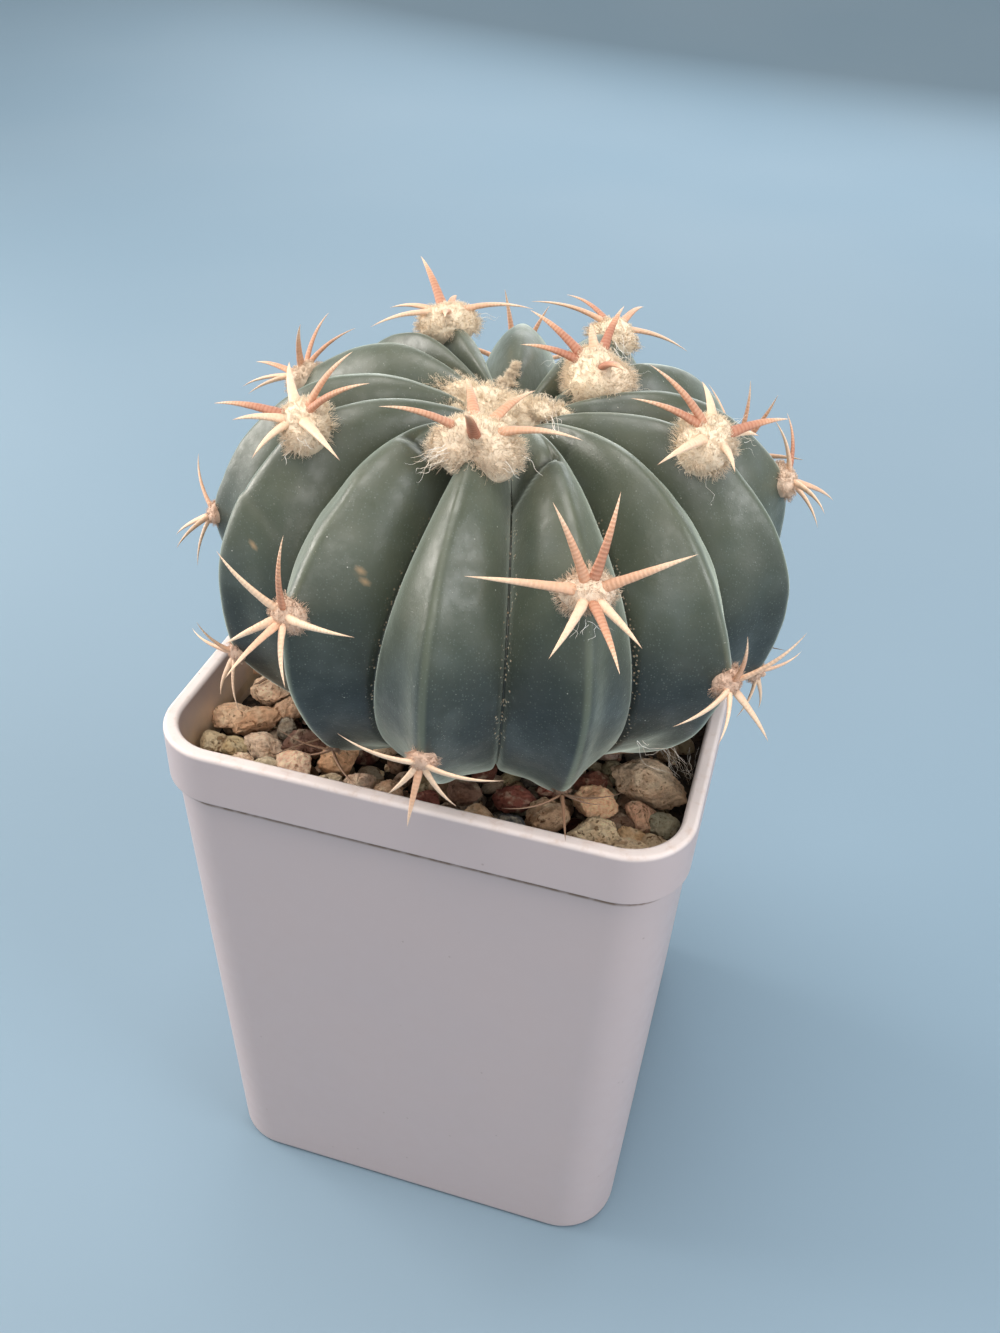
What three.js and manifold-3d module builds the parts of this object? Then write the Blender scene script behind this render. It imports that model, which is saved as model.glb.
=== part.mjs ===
// A ribbed globe cactus in its square pot. Millimetres, +Z up, the pot's front face towards -Y.
// The origin is the middle of the pot's underside.

import * as THREE from "three";
import { mergeVertices } from "three/addons/utils/BufferGeometryUtils.js";
import Module from "manifold-3d";

const wasm = await Module();
wasm.setup();

// Pot: a tapered square with a straight collar under the lip
const POT_HEIGHT = 100.8;
const COLLAR_WIDTH = 80;
const COLLAR_HEIGHT = 9.2;
const COLLAR_STEP = 1.2;
const COLLAR_CORNER = 10;
const LIP_THICKNESS = 2.3;
const LIP_ROUNDING = 0.7;
const BASE_WIDTH = 73.6;
const BASE_CORNER = 9.9;
const BASE_EDGE = 1.2;
const WALL = 1.4;
const FLOOR = 2.4;
const UNDERCUT = 0.4;
const ARC_STEPS = 5;
const DRAIN_HOLE_RADIUS = 4;
const DRAIN_HOLE_OFFSET = 19;
const DRAIN_HOLE_SIDES = 16;

// Filling
const CLEARANCE = 0.3;
const SUBSTRATE_TOP = 87.5;
const GRIT_TOP = 92;
const PEBBLE_COUNT = 88;
const PEBBLE_SMALL = 3.8;
const PEBBLE_LARGE = 7.6;
const PEBBLE_SLIM = 0.72;
const PEBBLE_FLAT = 0.8;
const PEBBLE_DENT = 0.88;
const PEBBLE_BUMP = 1.12;
const PEBBLE_TILT = 0.25;
const PEBBLE_SEAT = 0.28;
const PEBBLE_SPACING = 0.43;
const PEBBLE_FROM_ROOT = 5;
const PEBBLE_TRIES = 9000;
const PEBBLE_SEED = 7;
const BARE_POCKET = { x: 34, y: -7, radius: 8 };

// Pebbles along the front and the front corners, as [x, y, length, breadth, turn]
const FRONT_PEBBLES = [
  [-34.2, -22.6, 7.2, 5.4, 15], [-30.2, -21.6, 8.2, 5, 50], [-27, -26.8, 6.2, 5, -10],
  [-34.6, -28.6, 4.8, 4.2, 0], [-31.2, -28.8, 4.6, 4.2, 30], [-28.2, -32, 4.6, 4.2, 0],
  [-24.6, -31.4, 4.4, 3.8, 40], [-31.5, -14.5, 7, 5.6, -20], [-34.8, -8.4, 5, 4.4, 60],
  [-26.8, -17.4, 5.6, 4.6, 70], [-25.4, -21.6, 4, 3.6, 0], [-21.2, -24.6, 8.2, 5.4, 15],
  [-20.4, -29.8, 6.6, 5, 8], [-14.8, -26, 7, 6, 15], [-14.2, -31.4, 4.6, 4.2, 0],
  [-9.4, -30.8, 5.8, 4.6, 10], [-5.2, -30, 5.2, 4.4, -20], [0.8, -30.8, 4.8, 4.2, 30],
  [5.4, -27, 5.2, 4.6, 0], [9, -31, 4.8, 4.2, 20], [13, -25.8, 6.2, 5, 20],
  [17.4, -21.6, 5, 4.4, 0], [18.4, -28, 6.8, 6, 40], [13.6, -31.4, 4.6, 4.2, 0],
  [24.4, -23.6, 7, 6, -20], [25.6, -29.8, 7.6, 6, 10], [22.8, -18.8, 5.4, 4.6, 0],
  [31.4, -17.4, 12.4, 8, -5], [31.4, -23.6, 5.8, 5, -60], [35, -24, 4.8, 4.4, 0],
  [28.4, -26.4, 5, 4.4, 20], [30.8, -28.2, 4.6, 4, 0], [31.4, -31.4, 6, 5, 10], [34.6, -29, 5, 4.6, 0],
];

// Cactus body: reach from its centre, and depth of the grooves, by height angle
const CENTRE = new THREE.Vector3(3.5, -4, 119.5);
const STATION_STEP = 20;
const RIDGE_REACH = [21, 28.4, 36.4, 41, 42.6, 40.4, 35.6, 30.7, 28, 27];
const GROOVE_DEPTH = [2.5, 7, 9, 8.5, 7, 5, 3.2, 2, 1, 0];
const CREST_SHARE = [0, 0, 0.05, 0.15, 0.3, 0.4, 0.45, 0.4, 0.3, 0.3];
const CREST_WIDTH = 0.24;
const FLANK_POWER = 2.4;
const TUBERCLE_HEIGHT = 0.8;
const TUBERCLE_SPAN = 7;
const TUBERCLE_WIDTH = 0.5;
const TWIST_SPAN = 60;
const STEEPEST = 3;
const COLUMNS_PER_RIB = 8;
const ROW_STEP = 9;
const LOWEST_ROW = -72;
const ROOT_RADIUS = 8.5;
const ROOT_TIP_RADIUS = 2.5;
const ROOT_TOP = 96;
const ROOT_DEPTH = 30;
const ROOT_TAPER = 0.62;
const ROOT_SHOULDER = 0.12;
const ROOT_NECK = 0.9;
const ROOT_SIDES = 16;

// Ribs, anticlockwise from the front one: azimuth on the widest circle, twist towards the crown,
// and where the groove after the rib lies on the way to the next one, with its sway by height
const RIBS = [
  { azimuth: 272.5, twist: 1, groove: 0.5, sway: 0 },
  { azimuth: 300, twist: 1, groove: 0.5, sway: 0 },
  { azimuth: 329, twist: -5.5, groove: 0.5, sway: 0 },
  { azimuth: 355.5, twist: -5.5, groove: 0.5, sway: 0 },
  { azimuth: 383, twist: -8, groove: 0.5, sway: 0 },
  { azimuth: 409, twist: -8, groove: 0.5, sway: 0 },
  { azimuth: 435, twist: -4, groove: 0.5, sway: 0 },
  { azimuth: 465, twist: -4, groove: 0.5, sway: 0 },
  { azimuth: 487, twist: 3, groove: 0.5, sway: 0 },
  { azimuth: 508, twist: -5, groove: 0.5, sway: 0 },
  { azimuth: 528, twist: -12, groove: 0.5, sway: 0 },
  { azimuth: 553, twist: -1.5, groove: 0.5, sway: 0 },
  { azimuth: 579, twist: -3, groove: 0.5, sway: 0 },
  { azimuth: 605.5, twist: 1.5, groove: 0.47, sway: 0.18 },
];

// Areoles: rib, height angle, width of the wool, and spines as [turn, lean, length].
// A spine turns clockwise from the way up the rib, and leans out from the skin.
const AREOLES = [
  { rib: 0, height: 56, wool: 13.5,
    spines: [[-22, 17, 12], [28, 18, 11.5], [-107, 22, 13], [92, 12, 13.5], [178, 44, 11]] },
  { rib: 0, height: -6, wool: 4.6,
    spines: [[-60, 9, 11.5], [80, 7, 11.5], [-140, 26, 7], [-173, 32, 10], [140, 16, 8]] },
  { rib: 1, height: 27, wool: 8,
    spines: [[-25, 26, 12.5], [18, 24, 12.5], [-78, 2, 15], [76, 24, 13.5], [-137, 24, 11],
      [148, 26, 9.5], [178, 38, 12.5]] },
  { rib: 1, height: -20, wool: 3.6, spines: [[-70, 8, 10], [-20, 50, 9], [45, 9, 10], [85, 24, 6]] },
  { rib: 2, height: 4, wool: 5.8,
    spines: [[0, 10, 9], [40, 28, 12], [-90, 2, 11.5], [-115, 30, 9], [165, 38, 10]] },
  { rib: 3, height: 43.5, wool: 11.5,
    spines: [[-4, 21, 13], [-21, 6, 12.5], [55, 15, 9.5], [133, 27, 11.5], [128, 8, 8.5],
      [-70, 0, 12.5], [-125, 16, 8]] },
  { rib: 3, height: -12.5, wool: 4.2, spines: [[75, 32, 9.5], [165, 36, 9], [-150, 16, 7.5], [125, 18, 12]] },
  { rib: 4, height: 19, wool: 6.6,
    spines: [[5, 5, 10.5], [70, 20, 11.5], [165, 33, 11.5], [-90, 16, 10.5], [-140, 14, 8.5]] },
  { rib: 5, height: 65, wool: 13,
    spines: [[64, 36, 13], [35, 27, 11.5], [143, 21, 12], [-83, 28, 12.5], [115, 56, 7]] },
  { rib: 6, height: 44, wool: 9, spines: [[108, 17, 12.5], [63, 4, 13.5], [173, 25, 13], [-125, 4, 12]] },
  { rib: 8, height: 50, wool: 10.5,
    spines: [[178, 42, 13], [140, 10, 10.5], [80, 4, 13], [-68, 4, 13], [21, 12, 9], [-150, 16, 9]] },
  { rib: 10, height: 27, wool: 7.6,
    spines: [[-40, 6, 11], [-58, 33, 12], [25, 25, 10], [-160, 46, 12], [175, 32, 12], [138, 20, 9]] },
  { rib: 11, height: 7, wool: 4.6,
    spines: [[-55, 24, 10.5], [-150, 42, 11], [110, 28, 8.5], [155, 14, 8.5]] },
  { rib: 12, height: 42.5, wool: 10.5,
    spines: [[-75, 14, 12], [12, 28, 12], [36, 15, 12.5], [-138, 26, 12.5], [-165, 32, 9],
      [160, 8, 8.5], [84, 0, 13.5]] },
  { rib: 12, height: -9, wool: 4.2, spines: [[-85, 24, 11], [0, 16, 8], [170, 27, 9.5], [-155, 34, 10.5]] },
  { rib: 13, height: 15, wool: 6.2,
    spines: [[-56, 28, 11.5], [3, 19, 12], [76, 6, 13], [178, 50, 11], [-136, 20, 9.5], [140, 22, 9.5]] },
  { rib: 13, height: -23.5, wool: 3.4, spines: [[-60, 8, 9.5], [-115, 26, 8], [75, 12, 9.5]] },
];

// Areoles that the photo doesn't reach, with the usual star
const FAR_AREOLES = [
  { rib: 7, height: 17, wool: 7.6 },
  { rib: 9, height: 5, wool: 6.6 },
  { rib: 5, height: 10, wool: 6.6 },
  { rib: 6, height: -8, wool: 4.8 },
  { rib: 8, height: -2, wool: 5.4 },
  { rib: 4, height: -23, wool: 3.6 },
  { rib: 7, height: -22, wool: 3.6 },
  { rib: 10, height: -19, wool: 3.8 },
];
const USUAL_STAR = [[20, 26, 13], [75, 18, 14], [130, 24, 12.5], [178, 42, 12], [-130, 24, 12.5],
  [-75, 18, 14], [-20, 28, 12.5]];
const WORN_STAR = [[-85, 18, 12], [-40, 20, 12.5], [10, 30, 11], [55, 18, 12.5], [95, 20, 11]];
const WORN_BELOW = -10;
const STAR_DRIFT = { turn: 9, lean: 3, length: 0.08 };

// Spines: three-sided, flattened and bowed outwards, wider on the woollier areoles
const SPINE_WIDTH = 1.7;
const SPINE_WIDTH_AT_NO_WOOL = 0.62;
const SPINE_WIDTH_PER_WOOL = 0.05;
const SPINE_WIDEST = 1.1;
const SPINE_SECTION = [[1, -0.35], [0, 0.75], [-1, -0.35]];
const SPINE_STATIONS = [{ along: 0, width: 1 }, { along: 0.5, width: 0.69 }, { along: 1, width: 0.12 }];
const SPINE_BEND = 0.07;
const SPINE_ROOT = 0.12;

// Wool: pads by the width of each areole, and the felt of the crown
const WOOL_LENGTH = 0.42;
const WOOL_HEIGHT = 0.36;
const WOOL_SINK = 0.06;
const WOOL_LUMPS = [0.9, 1.1];
const FINE_WOOL_FROM = 7;
const CROWN_WOOL = { x: 11, y: 8.6, z: 5.2, west: 1.2, height: 142.6 };
const CROWN_LUMPS = [0.94, 1.08];
const CROWN_SEED = 11;
const CROWN_NEIGHBOURS_FROM = 40;
const SPINE_SEED = 100;
const WOOL_SEED = 300;

// Areoles above the first height are named upper, those above the second middle
const UPPER_FROM = 35;
const MIDDLE_FROM = -3;

const COLOURS = {
  pot: { color: 0xd9d1cd, roughness: 0.6 },
  substrate: { color: 0x2a221c, roughness: 1 },
  gravel: { color: 0xc0a483, roughness: 0.95 },
  skin: { color: 0x56675a, roughness: 0.62 },
  wool: { color: 0xe9cfa6, roughness: 1 },
  areole: { color: 0xd9a679, roughness: 0.7 },
};

// Seeded draws, the same on every run
function makeDraw(seed) {
  let state = seed;
  return () => {
    state = (state * 1664525 + 1013904223) % 4294967296;
    return state / 4294967296;
  };
}

function between(low, high, share) {
  return low + (high - low) * share;
}

// Solids and meshes
function toSolid(geometry) {
  const plain = geometry.index ? geometry.toNonIndexed() : geometry.clone();
  plain.deleteAttribute("normal");
  plain.deleteAttribute("uv");
  const merged = mergeVertices(plain, 1e-5);
  return new wasm.Manifold(new wasm.Mesh({
    numProp: 3,
    vertProperties: new Float32Array(merged.attributes.position.array),
    triVerts: new Uint32Array(merged.index.array),
  }));
}

function toGeometry(solid) {
  const mesh = solid.getMesh();
  const geometry = new THREE.BufferGeometry();
  geometry.setAttribute("position", new THREE.BufferAttribute(mesh.vertProperties, 3));
  geometry.setIndex(new THREE.BufferAttribute(mesh.triVerts, 1));
  geometry.computeVertexNormals();
  return geometry;
}

// A closed solid through rings of equal length, from the lowest or inmost ring to the last
function loft(rings) {
  const count = rings[0].length;
  const points = rings.flat();
  const faces = [];
  for (let row = 0; row < rings.length - 1; row += 1) {
    for (let i = 0; i < count; i += 1) {
      const a = row * count + i;
      const b = row * count + ((i + 1) % count);
      faces.push(a, b, b + count, a, b + count, a + count);
    }
  }
  const ends = [[0, true], [rings.length - 1, false]];
  for (const [row, first] of ends) {
    const middle = new THREE.Vector3();
    rings[row].forEach((point) => middle.addScaledVector(point, 1 / count));
    points.push(middle);
    const centre = points.length - 1;
    for (let i = 0; i < count; i += 1) {
      const a = row * count + i;
      const b = row * count + ((i + 1) % count);
      faces.push(...(first ? [centre, b, a] : [centre, a, b]));
    }
  }
  const geometry = new THREE.BufferGeometry();
  geometry.setAttribute("position", new THREE.Float32BufferAttribute(points.flatMap((p) => p.toArray()), 3));
  geometry.setIndex(faces);
  return geometry;
}

function largestPiece(solid) {
  const pieces = solid.decompose();
  pieces.sort((a, b) => b.volume() - a.volume());
  return pieces[0];
}

// Pot
function roundedSquare(width, corner, height) {
  const ring = [];
  const inner = width / 2 - corner;
  for (let quarter = 0; quarter < 4; quarter += 1) {
    const turn = (quarter * Math.PI) / 2;
    const middle = turn + Math.PI / 4;
    const centre = new THREE.Vector3(Math.cos(middle), Math.sin(middle), 0).multiplyScalar(inner * Math.SQRT2);
    centre.z = height;
    for (let i = 0; i <= ARC_STEPS; i += 1) {
      const angle = turn + (i / ARC_STEPS) * (Math.PI / 2);
      const spoke = new THREE.Vector3(Math.cos(angle), Math.sin(angle), 0);
      ring.push(centre.clone().addScaledVector(spoke, corner));
    }
  }
  return ring;
}

const collarBottom = POT_HEIGHT - COLLAR_HEIGHT;
const shoulderWidth = COLLAR_WIDTH - 2 * COLLAR_STEP;
const mouthWidth = COLLAR_WIDTH - 2 * LIP_THICKNESS;
const mouthCorner = COLLAR_CORNER - LIP_THICKNESS;
const innerCorner = mouthCorner - UNDERCUT / 2;

// The inner wall's width falls evenly from the mouth to the floor
function innerWidth(height) {
  const floorWidth = BASE_WIDTH - 2 * WALL;
  const shoulderInner = shoulderWidth - 2 * WALL;
  if (height > collarBottom) {
    const share = (height - collarBottom) / COLLAR_HEIGHT;
    return shoulderInner + (mouthWidth - shoulderInner) * share;
  }
  return floorWidth + ((shoulderInner - floorWidth) * (height - FLOOR)) / (collarBottom - FLOOR);
}

function makePot() {
  const rings = [
    roundedSquare(BASE_WIDTH - 2 * BASE_EDGE, BASE_CORNER - BASE_EDGE, 0),
    roundedSquare(BASE_WIDTH, BASE_CORNER, BASE_EDGE),
    roundedSquare(shoulderWidth, COLLAR_CORNER - COLLAR_STEP, collarBottom),
    roundedSquare(COLLAR_WIDTH, COLLAR_CORNER, collarBottom + UNDERCUT),
    roundedSquare(COLLAR_WIDTH, COLLAR_CORNER, POT_HEIGHT - LIP_ROUNDING),
    roundedSquare(COLLAR_WIDTH - 2 * LIP_ROUNDING, COLLAR_CORNER - LIP_ROUNDING, POT_HEIGHT),
    roundedSquare(mouthWidth + 2 * LIP_ROUNDING, mouthCorner + LIP_ROUNDING, POT_HEIGHT),
    roundedSquare(mouthWidth, mouthCorner, POT_HEIGHT - LIP_ROUNDING),
    roundedSquare(innerWidth(collarBottom), innerCorner, collarBottom),
    roundedSquare(innerWidth(FLOOR), BASE_CORNER - WALL, FLOOR),
  ];
  let pot = toSolid(loft(rings));
  for (const x of [-1, 1]) {
    for (const y of [-1, 1]) {
      const hole = new THREE.CylinderGeometry(DRAIN_HOLE_RADIUS, DRAIN_HOLE_RADIUS, 4 * FLOOR,
        DRAIN_HOLE_SIDES);
      hole.rotateX(Math.PI / 2);
      hole.translate(x * DRAIN_HOLE_OFFSET, y * DRAIN_HOLE_OFFSET, 0);
      pot = pot.subtract(toSolid(hole));
    }
  }
  return pot;
}

// Cactus body
function atStation(values, height) {
  const place = (90 - height) / STATION_STEP;
  const i = Math.min(Math.floor(place), values.length - 2);
  const share = place - i;
  const at = (k) => values[Math.max(0, Math.min(values.length - 1, k))];
  const [a, b, c, d] = [at(i - 1), at(i), at(i + 1), at(i + 2)];
  return 0.5 * (2 * b + (c - a) * share + (2 * a - 5 * b + 4 * c - d) * share ** 2
    + (3 * b - a - 3 * c + d) * share ** 3);
}

const allAreoles = [...AREOLES, ...FAR_AREOLES];

// Swelling of the ridge under its areoles
function tubercle(rib, height) {
  return allAreoles.filter((areole) => areole.rib === rib)
    .reduce((sum, areole) => sum + Math.exp(-(((height - areole.height) / TUBERCLE_SPAN) ** 2)), 0);
}

// Reach of the skin from the centre: across runs from 0 on the ridge to 1 in the groove
function reach(rib, height, across) {
  const crest = atStation(CREST_SHARE, height);
  const flank = 1 - across ** FLANK_POWER;
  const ridge = Math.exp(-((across / CREST_WIDTH) ** 2));
  const rise = (1 - crest) * flank + crest * ridge;
  const swell = TUBERCLE_HEIGHT * tubercle(rib, height) * Math.exp(-((across / TUBERCLE_WIDTH) ** 2));
  return atStation(RIDGE_REACH, height) - atStation(GROOVE_DEPTH, height) * (1 - rise) + swell;
}

// Where the groove after a rib lies on the way to the next rib
function grooveShare(rib, height) {
  return RIBS[rib].groove + (RIBS[rib].sway * height) / TWIST_SPAN;
}

// How much further out the skin goes, seen from the centre, for one unit square to its slope
function slant(rib, height, across) {
  const nudge = 0.02;
  const low = Math.max(0, across - nudge);
  const high = Math.min(1, across + nudge);
  const here = reach(rib, height, across);
  const halfRib = Math.PI / RIBS.length;
  const width = here * Math.cos(THREE.MathUtils.degToRad(height)) * halfRib * (high - low);
  const sideways = (reach(rib, height, high) - reach(rib, height, low)) / width;
  const rise = here * THREE.MathUtils.degToRad(2);
  const upward = (reach(rib, height + 1, across) - reach(rib, height - 1, across)) / rise;
  return Math.min(STEEPEST, Math.hypot(1, sideways, upward));
}

function skinPoint(rib, height, side, grow = 0) {
  const here = RIBS[rib];
  const step = side < 0 ? -1 : 1;
  const index = (rib + step + RIBS.length) % RIBS.length;
  const next = RIBS[index];
  const lap = (index - rib) * step < 0 ? 360 * step : 0;
  const place = side < 0 ? 1 - grooveShare(index, height) : grooveShare(rib, height);
  const half = Math.abs(side) * place;
  const azimuth = here.azimuth + (next.azimuth + lap - here.azimuth) * half;
  const twist = here.twist + (next.twist - here.twist) * half;
  const angle = THREE.MathUtils.degToRad(azimuth + (twist * height) / TWIST_SPAN);
  const tilt = THREE.MathUtils.degToRad(height);
  const across = Math.abs(side);
  const distance = reach(rib, height, across) + (grow > 0 ? grow * slant(rib, height, across) : 0);
  return new THREE.Vector3(
    CENTRE.x + distance * Math.cos(tilt) * Math.cos(angle),
    CENTRE.y + distance * Math.cos(tilt) * Math.sin(angle),
    CENTRE.z + distance * Math.sin(tilt),
  );
}

function skinSolid(grow) {
  const rings = [];
  for (let height = LOWEST_ROW; height < 90; height += ROW_STEP) {
    const ring = [];
    for (let rib = 0; rib < RIBS.length; rib += 1) {
      for (let column = 0; column < COLUMNS_PER_RIB; column += 1) {
        const side = (2 * column) / COLUMNS_PER_RIB - 1;
        ring.push(skinPoint(rib, height, side, grow));
      }
    }
    rings.push(ring);
  }
  return toSolid(loft(rings));
}

function rootSolid(grow) {
  const profile = [
    new THREE.Vector2(0, ROOT_TOP - ROOT_DEPTH - grow),
    new THREE.Vector2(ROOT_TIP_RADIUS + grow, ROOT_TOP - ROOT_DEPTH + 1 - grow),
    new THREE.Vector2(ROOT_RADIUS * ROOT_TAPER + grow, ROOT_TOP - ROOT_DEPTH * ROOT_TAPER),
    new THREE.Vector2(ROOT_RADIUS + grow, ROOT_TOP - ROOT_DEPTH * ROOT_SHOULDER),
    new THREE.Vector2(ROOT_RADIUS * ROOT_NECK + grow, ROOT_TOP),
    new THREE.Vector2(0, ROOT_TOP),
  ];
  const geometry = new THREE.LatheGeometry(profile, ROOT_SIDES);
  geometry.rotateX(Math.PI / 2);
  geometry.translate(CENTRE.x, CENTRE.y, 0);
  return toSolid(geometry);
}

const bodySolid = skinSolid(0).add(rootSolid(0));
const bodyRoom = skinSolid(CLEARANCE).add(rootSolid(CLEARANCE));

// Filling of the pot
function fillingBlock(bottom, top, rimGap) {
  const rings = [bottom, (bottom + top) / 2, top].map((height) => {
    const width = innerWidth(height) - 2 * rimGap;
    return roundedSquare(width, innerCorner - rimGap, height);
  });
  return toSolid(loft(rings));
}

function makeSubstrate() {
  const block = fillingBlock(FLOOR + CLEARANCE, SUBSTRATE_TOP, 2 * CLEARANCE);
  return block.subtract(bodyRoom);
}

// A pebble: an icosahedron with each corner drawn in or out, then drawn out and flattened
function pebble({ x, y, length, breadth, turn }, draw) {
  const geometry = mergeVertices(new THREE.IcosahedronGeometry(0.5, 0).deleteAttribute("uv")
    .deleteAttribute("normal"), 1e-3);
  const position = geometry.attributes.position;
  for (let i = 0; i < position.count; i += 1) {
    const stretch = between(PEBBLE_DENT, PEBBLE_BUMP, draw());
    position.setXYZ(i, position.getX(i) * stretch, position.getY(i) * stretch, position.getZ(i) * stretch);
  }
  geometry.scale(length, breadth, breadth * PEBBLE_FLAT);
  geometry.rotateX(PEBBLE_TILT * (2 * draw() - 1));
  geometry.rotateZ(THREE.MathUtils.degToRad(turn));
  geometry.translate(x, y, GRIT_TOP + PEBBLE_SEAT * breadth);
  return toSolid(geometry);
}

// The other pebbles are dropped one by one, the large ones first, clear of the rest and of the bare pocket
function pebblePlaces() {
  const draw = makeDraw(PEBBLE_SEED);
  const places = FRONT_PEBBLES.map(([x, y, length, breadth, turn]) => ({ x, y, length, breadth, turn }));
  const half = mouthWidth / 2;
  for (let tries = 0; places.length < PEBBLE_COUNT && tries < PEBBLE_TRIES; tries += 1) {
    const share = (places.length - FRONT_PEBBLES.length) / (PEBBLE_COUNT - FRONT_PEBBLES.length);
    const length = between(PEBBLE_LARGE, PEBBLE_SMALL, Math.sqrt(share) * between(0.8, 1, draw()));
    const breadth = length * between(PEBBLE_SLIM, 1, draw());
    const room = half - length / 2 - 2 * CLEARANCE;
    const x = room * (2 * draw() - 1);
    const y = room * (2 * draw() - 1);
    const fromRoot = Math.hypot(x - CENTRE.x, y - CENTRE.y);
    const straight = half - mouthCorner - length / 4;
    const corner = Math.hypot(Math.max(0, Math.abs(x) - straight), Math.max(0, Math.abs(y) - straight));
    const clear = places.every((other) => Math.hypot(x - other.x, y - other.y)
      > PEBBLE_SPACING * (length + other.length));
    const inPocket = Math.hypot(x - BARE_POCKET.x, y - BARE_POCKET.y) < BARE_POCKET.radius;
    const clearOfRoot = fromRoot > ROOT_RADIUS + length / 2 + PEBBLE_FROM_ROOT;
    if (clear && clearOfRoot && !inPocket && corner < mouthCorner) {
      places.push({ x, y, length, breadth, turn: 180 * draw() });
    }
  }
  return places;
}

function makeGravel() {
  const draw = makeDraw(PEBBLE_SEED + 1);
  const bed = fillingBlock(SUBSTRATE_TOP + CLEARANCE, GRIT_TOP, 2 * CLEARANCE);
  const stones = pebblePlaces().map((place) => pebble(place, draw));
  const heap = wasm.Manifold.union([bed, ...stones]);
  const pocket = fillingBlock(SUBSTRATE_TOP, POT_HEIGHT, 1.5 * CLEARANCE);
  return largestPiece(heap.intersect(pocket).subtract(bodyRoom));
}

// Areoles
function ridgeFrame({ rib, height }) {
  const place = skinPoint(rib, height, 0);
  const up = skinPoint(rib, height + 2, 0).sub(skinPoint(rib, height - 2, 0)).normalize();
  const outward = place.clone().sub(CENTRE);
  outward.addScaledVector(up, -outward.dot(up)).normalize();
  const right = new THREE.Vector3().crossVectors(up, outward);
  return { place, up, outward, right };
}

function spineSolid(frame, wool, [turn, lean, length], grow) {
  const turned = THREE.MathUtils.degToRad(turn);
  const leaned = THREE.MathUtils.degToRad(lean);
  const along = frame.up.clone().multiplyScalar(Math.cos(turned))
    .addScaledVector(frame.right, Math.sin(turned));
  const way = along.clone().multiplyScalar(Math.cos(leaned))
    .addScaledVector(frame.outward, Math.sin(leaned));
  const across = new THREE.Vector3().crossVectors(frame.outward, along).normalize();
  const thick = new THREE.Vector3().crossVectors(way, across).normalize();
  const root = frame.place.clone().addScaledVector(frame.outward, SPINE_ROOT * wool)
    .addScaledVector(along, SPINE_ROOT * wool);
  const tip = frame.place.clone().addScaledVector(way, length);
  const stoutness = Math.min(SPINE_WIDEST, SPINE_WIDTH_AT_NO_WOOL + SPINE_WIDTH_PER_WOOL * wool);
  const rings = SPINE_STATIONS.map((station) => {
    const bow = 4 * SPINE_BEND * length * station.along * (1 - station.along);
    const middle = root.clone().lerp(tip, station.along).addScaledVector(frame.outward, bow);
    const half = (SPINE_WIDTH / 2) * stoutness * station.width + grow;
    return SPINE_SECTION.map(([a, b]) => middle.clone()
      .addScaledVector(across, a * half).addScaledVector(thick, b * half));
  });
  return toSolid(orient(loft(rings)));
}

// Turns a closed geometry right side out
function orient(geometry) {
  const index = geometry.index.array;
  const position = geometry.attributes.position;
  const [a, b, c] = [new THREE.Vector3(), new THREE.Vector3(), new THREE.Vector3()];
  let volume = 0;
  for (let i = 0; i < index.length; i += 3) {
    a.fromBufferAttribute(position, index[i]);
    b.fromBufferAttribute(position, index[i + 1]);
    c.fromBufferAttribute(position, index[i + 2]);
    volume += a.dot(b.cross(c));
  }
  if (volume < 0) {
    for (let i = 0; i < index.length; i += 3) {
      [index[i], index[i + 1]] = [index[i + 1], index[i]];
    }
  }
  return geometry;
}

function woolPad(frame, wool, draw, grow) {
  const detail = wool > FINE_WOOL_FROM ? 1 : 0;
  const geometry = mergeVertices(new THREE.IcosahedronGeometry(1, detail).deleteAttribute("uv")
    .deleteAttribute("normal"), 1e-3);
  const position = geometry.attributes.position;
  const basis = new THREE.Matrix4().makeBasis(frame.right, frame.up, frame.outward);
  for (let i = 0; i < position.count; i += 1) {
    const lump = between(...WOOL_LUMPS, draw());
    const point = new THREE.Vector3().fromBufferAttribute(position, i).multiplyScalar(lump);
    point.multiply(new THREE.Vector3(wool / 2 + grow, wool * WOOL_LENGTH + grow, wool * WOOL_HEIGHT + grow));
    point.applyMatrix4(basis).addScaledVector(frame.outward, -WOOL_SINK * wool).add(frame.place);
    position.setXYZ(i, point.x, point.y, point.z);
  }
  return toSolid(geometry);
}

function areoleParts(areole, number, grow) {
  const draw = makeDraw(SPINE_SEED + number);
  const frame = ridgeFrame(areole);
  const star = areole.height < WORN_BELOW ? WORN_STAR : USUAL_STAR;
  const drift = () => 2 * draw() - 1;
  const spines = areole.spines ?? star.map(([turn, lean, length]) => [
    turn + STAR_DRIFT.turn * drift(),
    lean + STAR_DRIFT.lean * drift(),
    length * (1 + STAR_DRIFT.length * drift()),
  ]);
  const pad = woolPad(frame, areole.wool, makeDraw(WOOL_SEED + number), grow);
  return [pad, ...spines.map((spine) => spineSolid(frame, areole.wool, spine, grow))];
}

const areoleSolids = allAreoles.map((areole, number) => {
  const whole = wasm.Manifold.union(areoleParts(areole, number, 0));
  return largestPiece(whole.subtract(bodyRoom));
});

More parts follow.
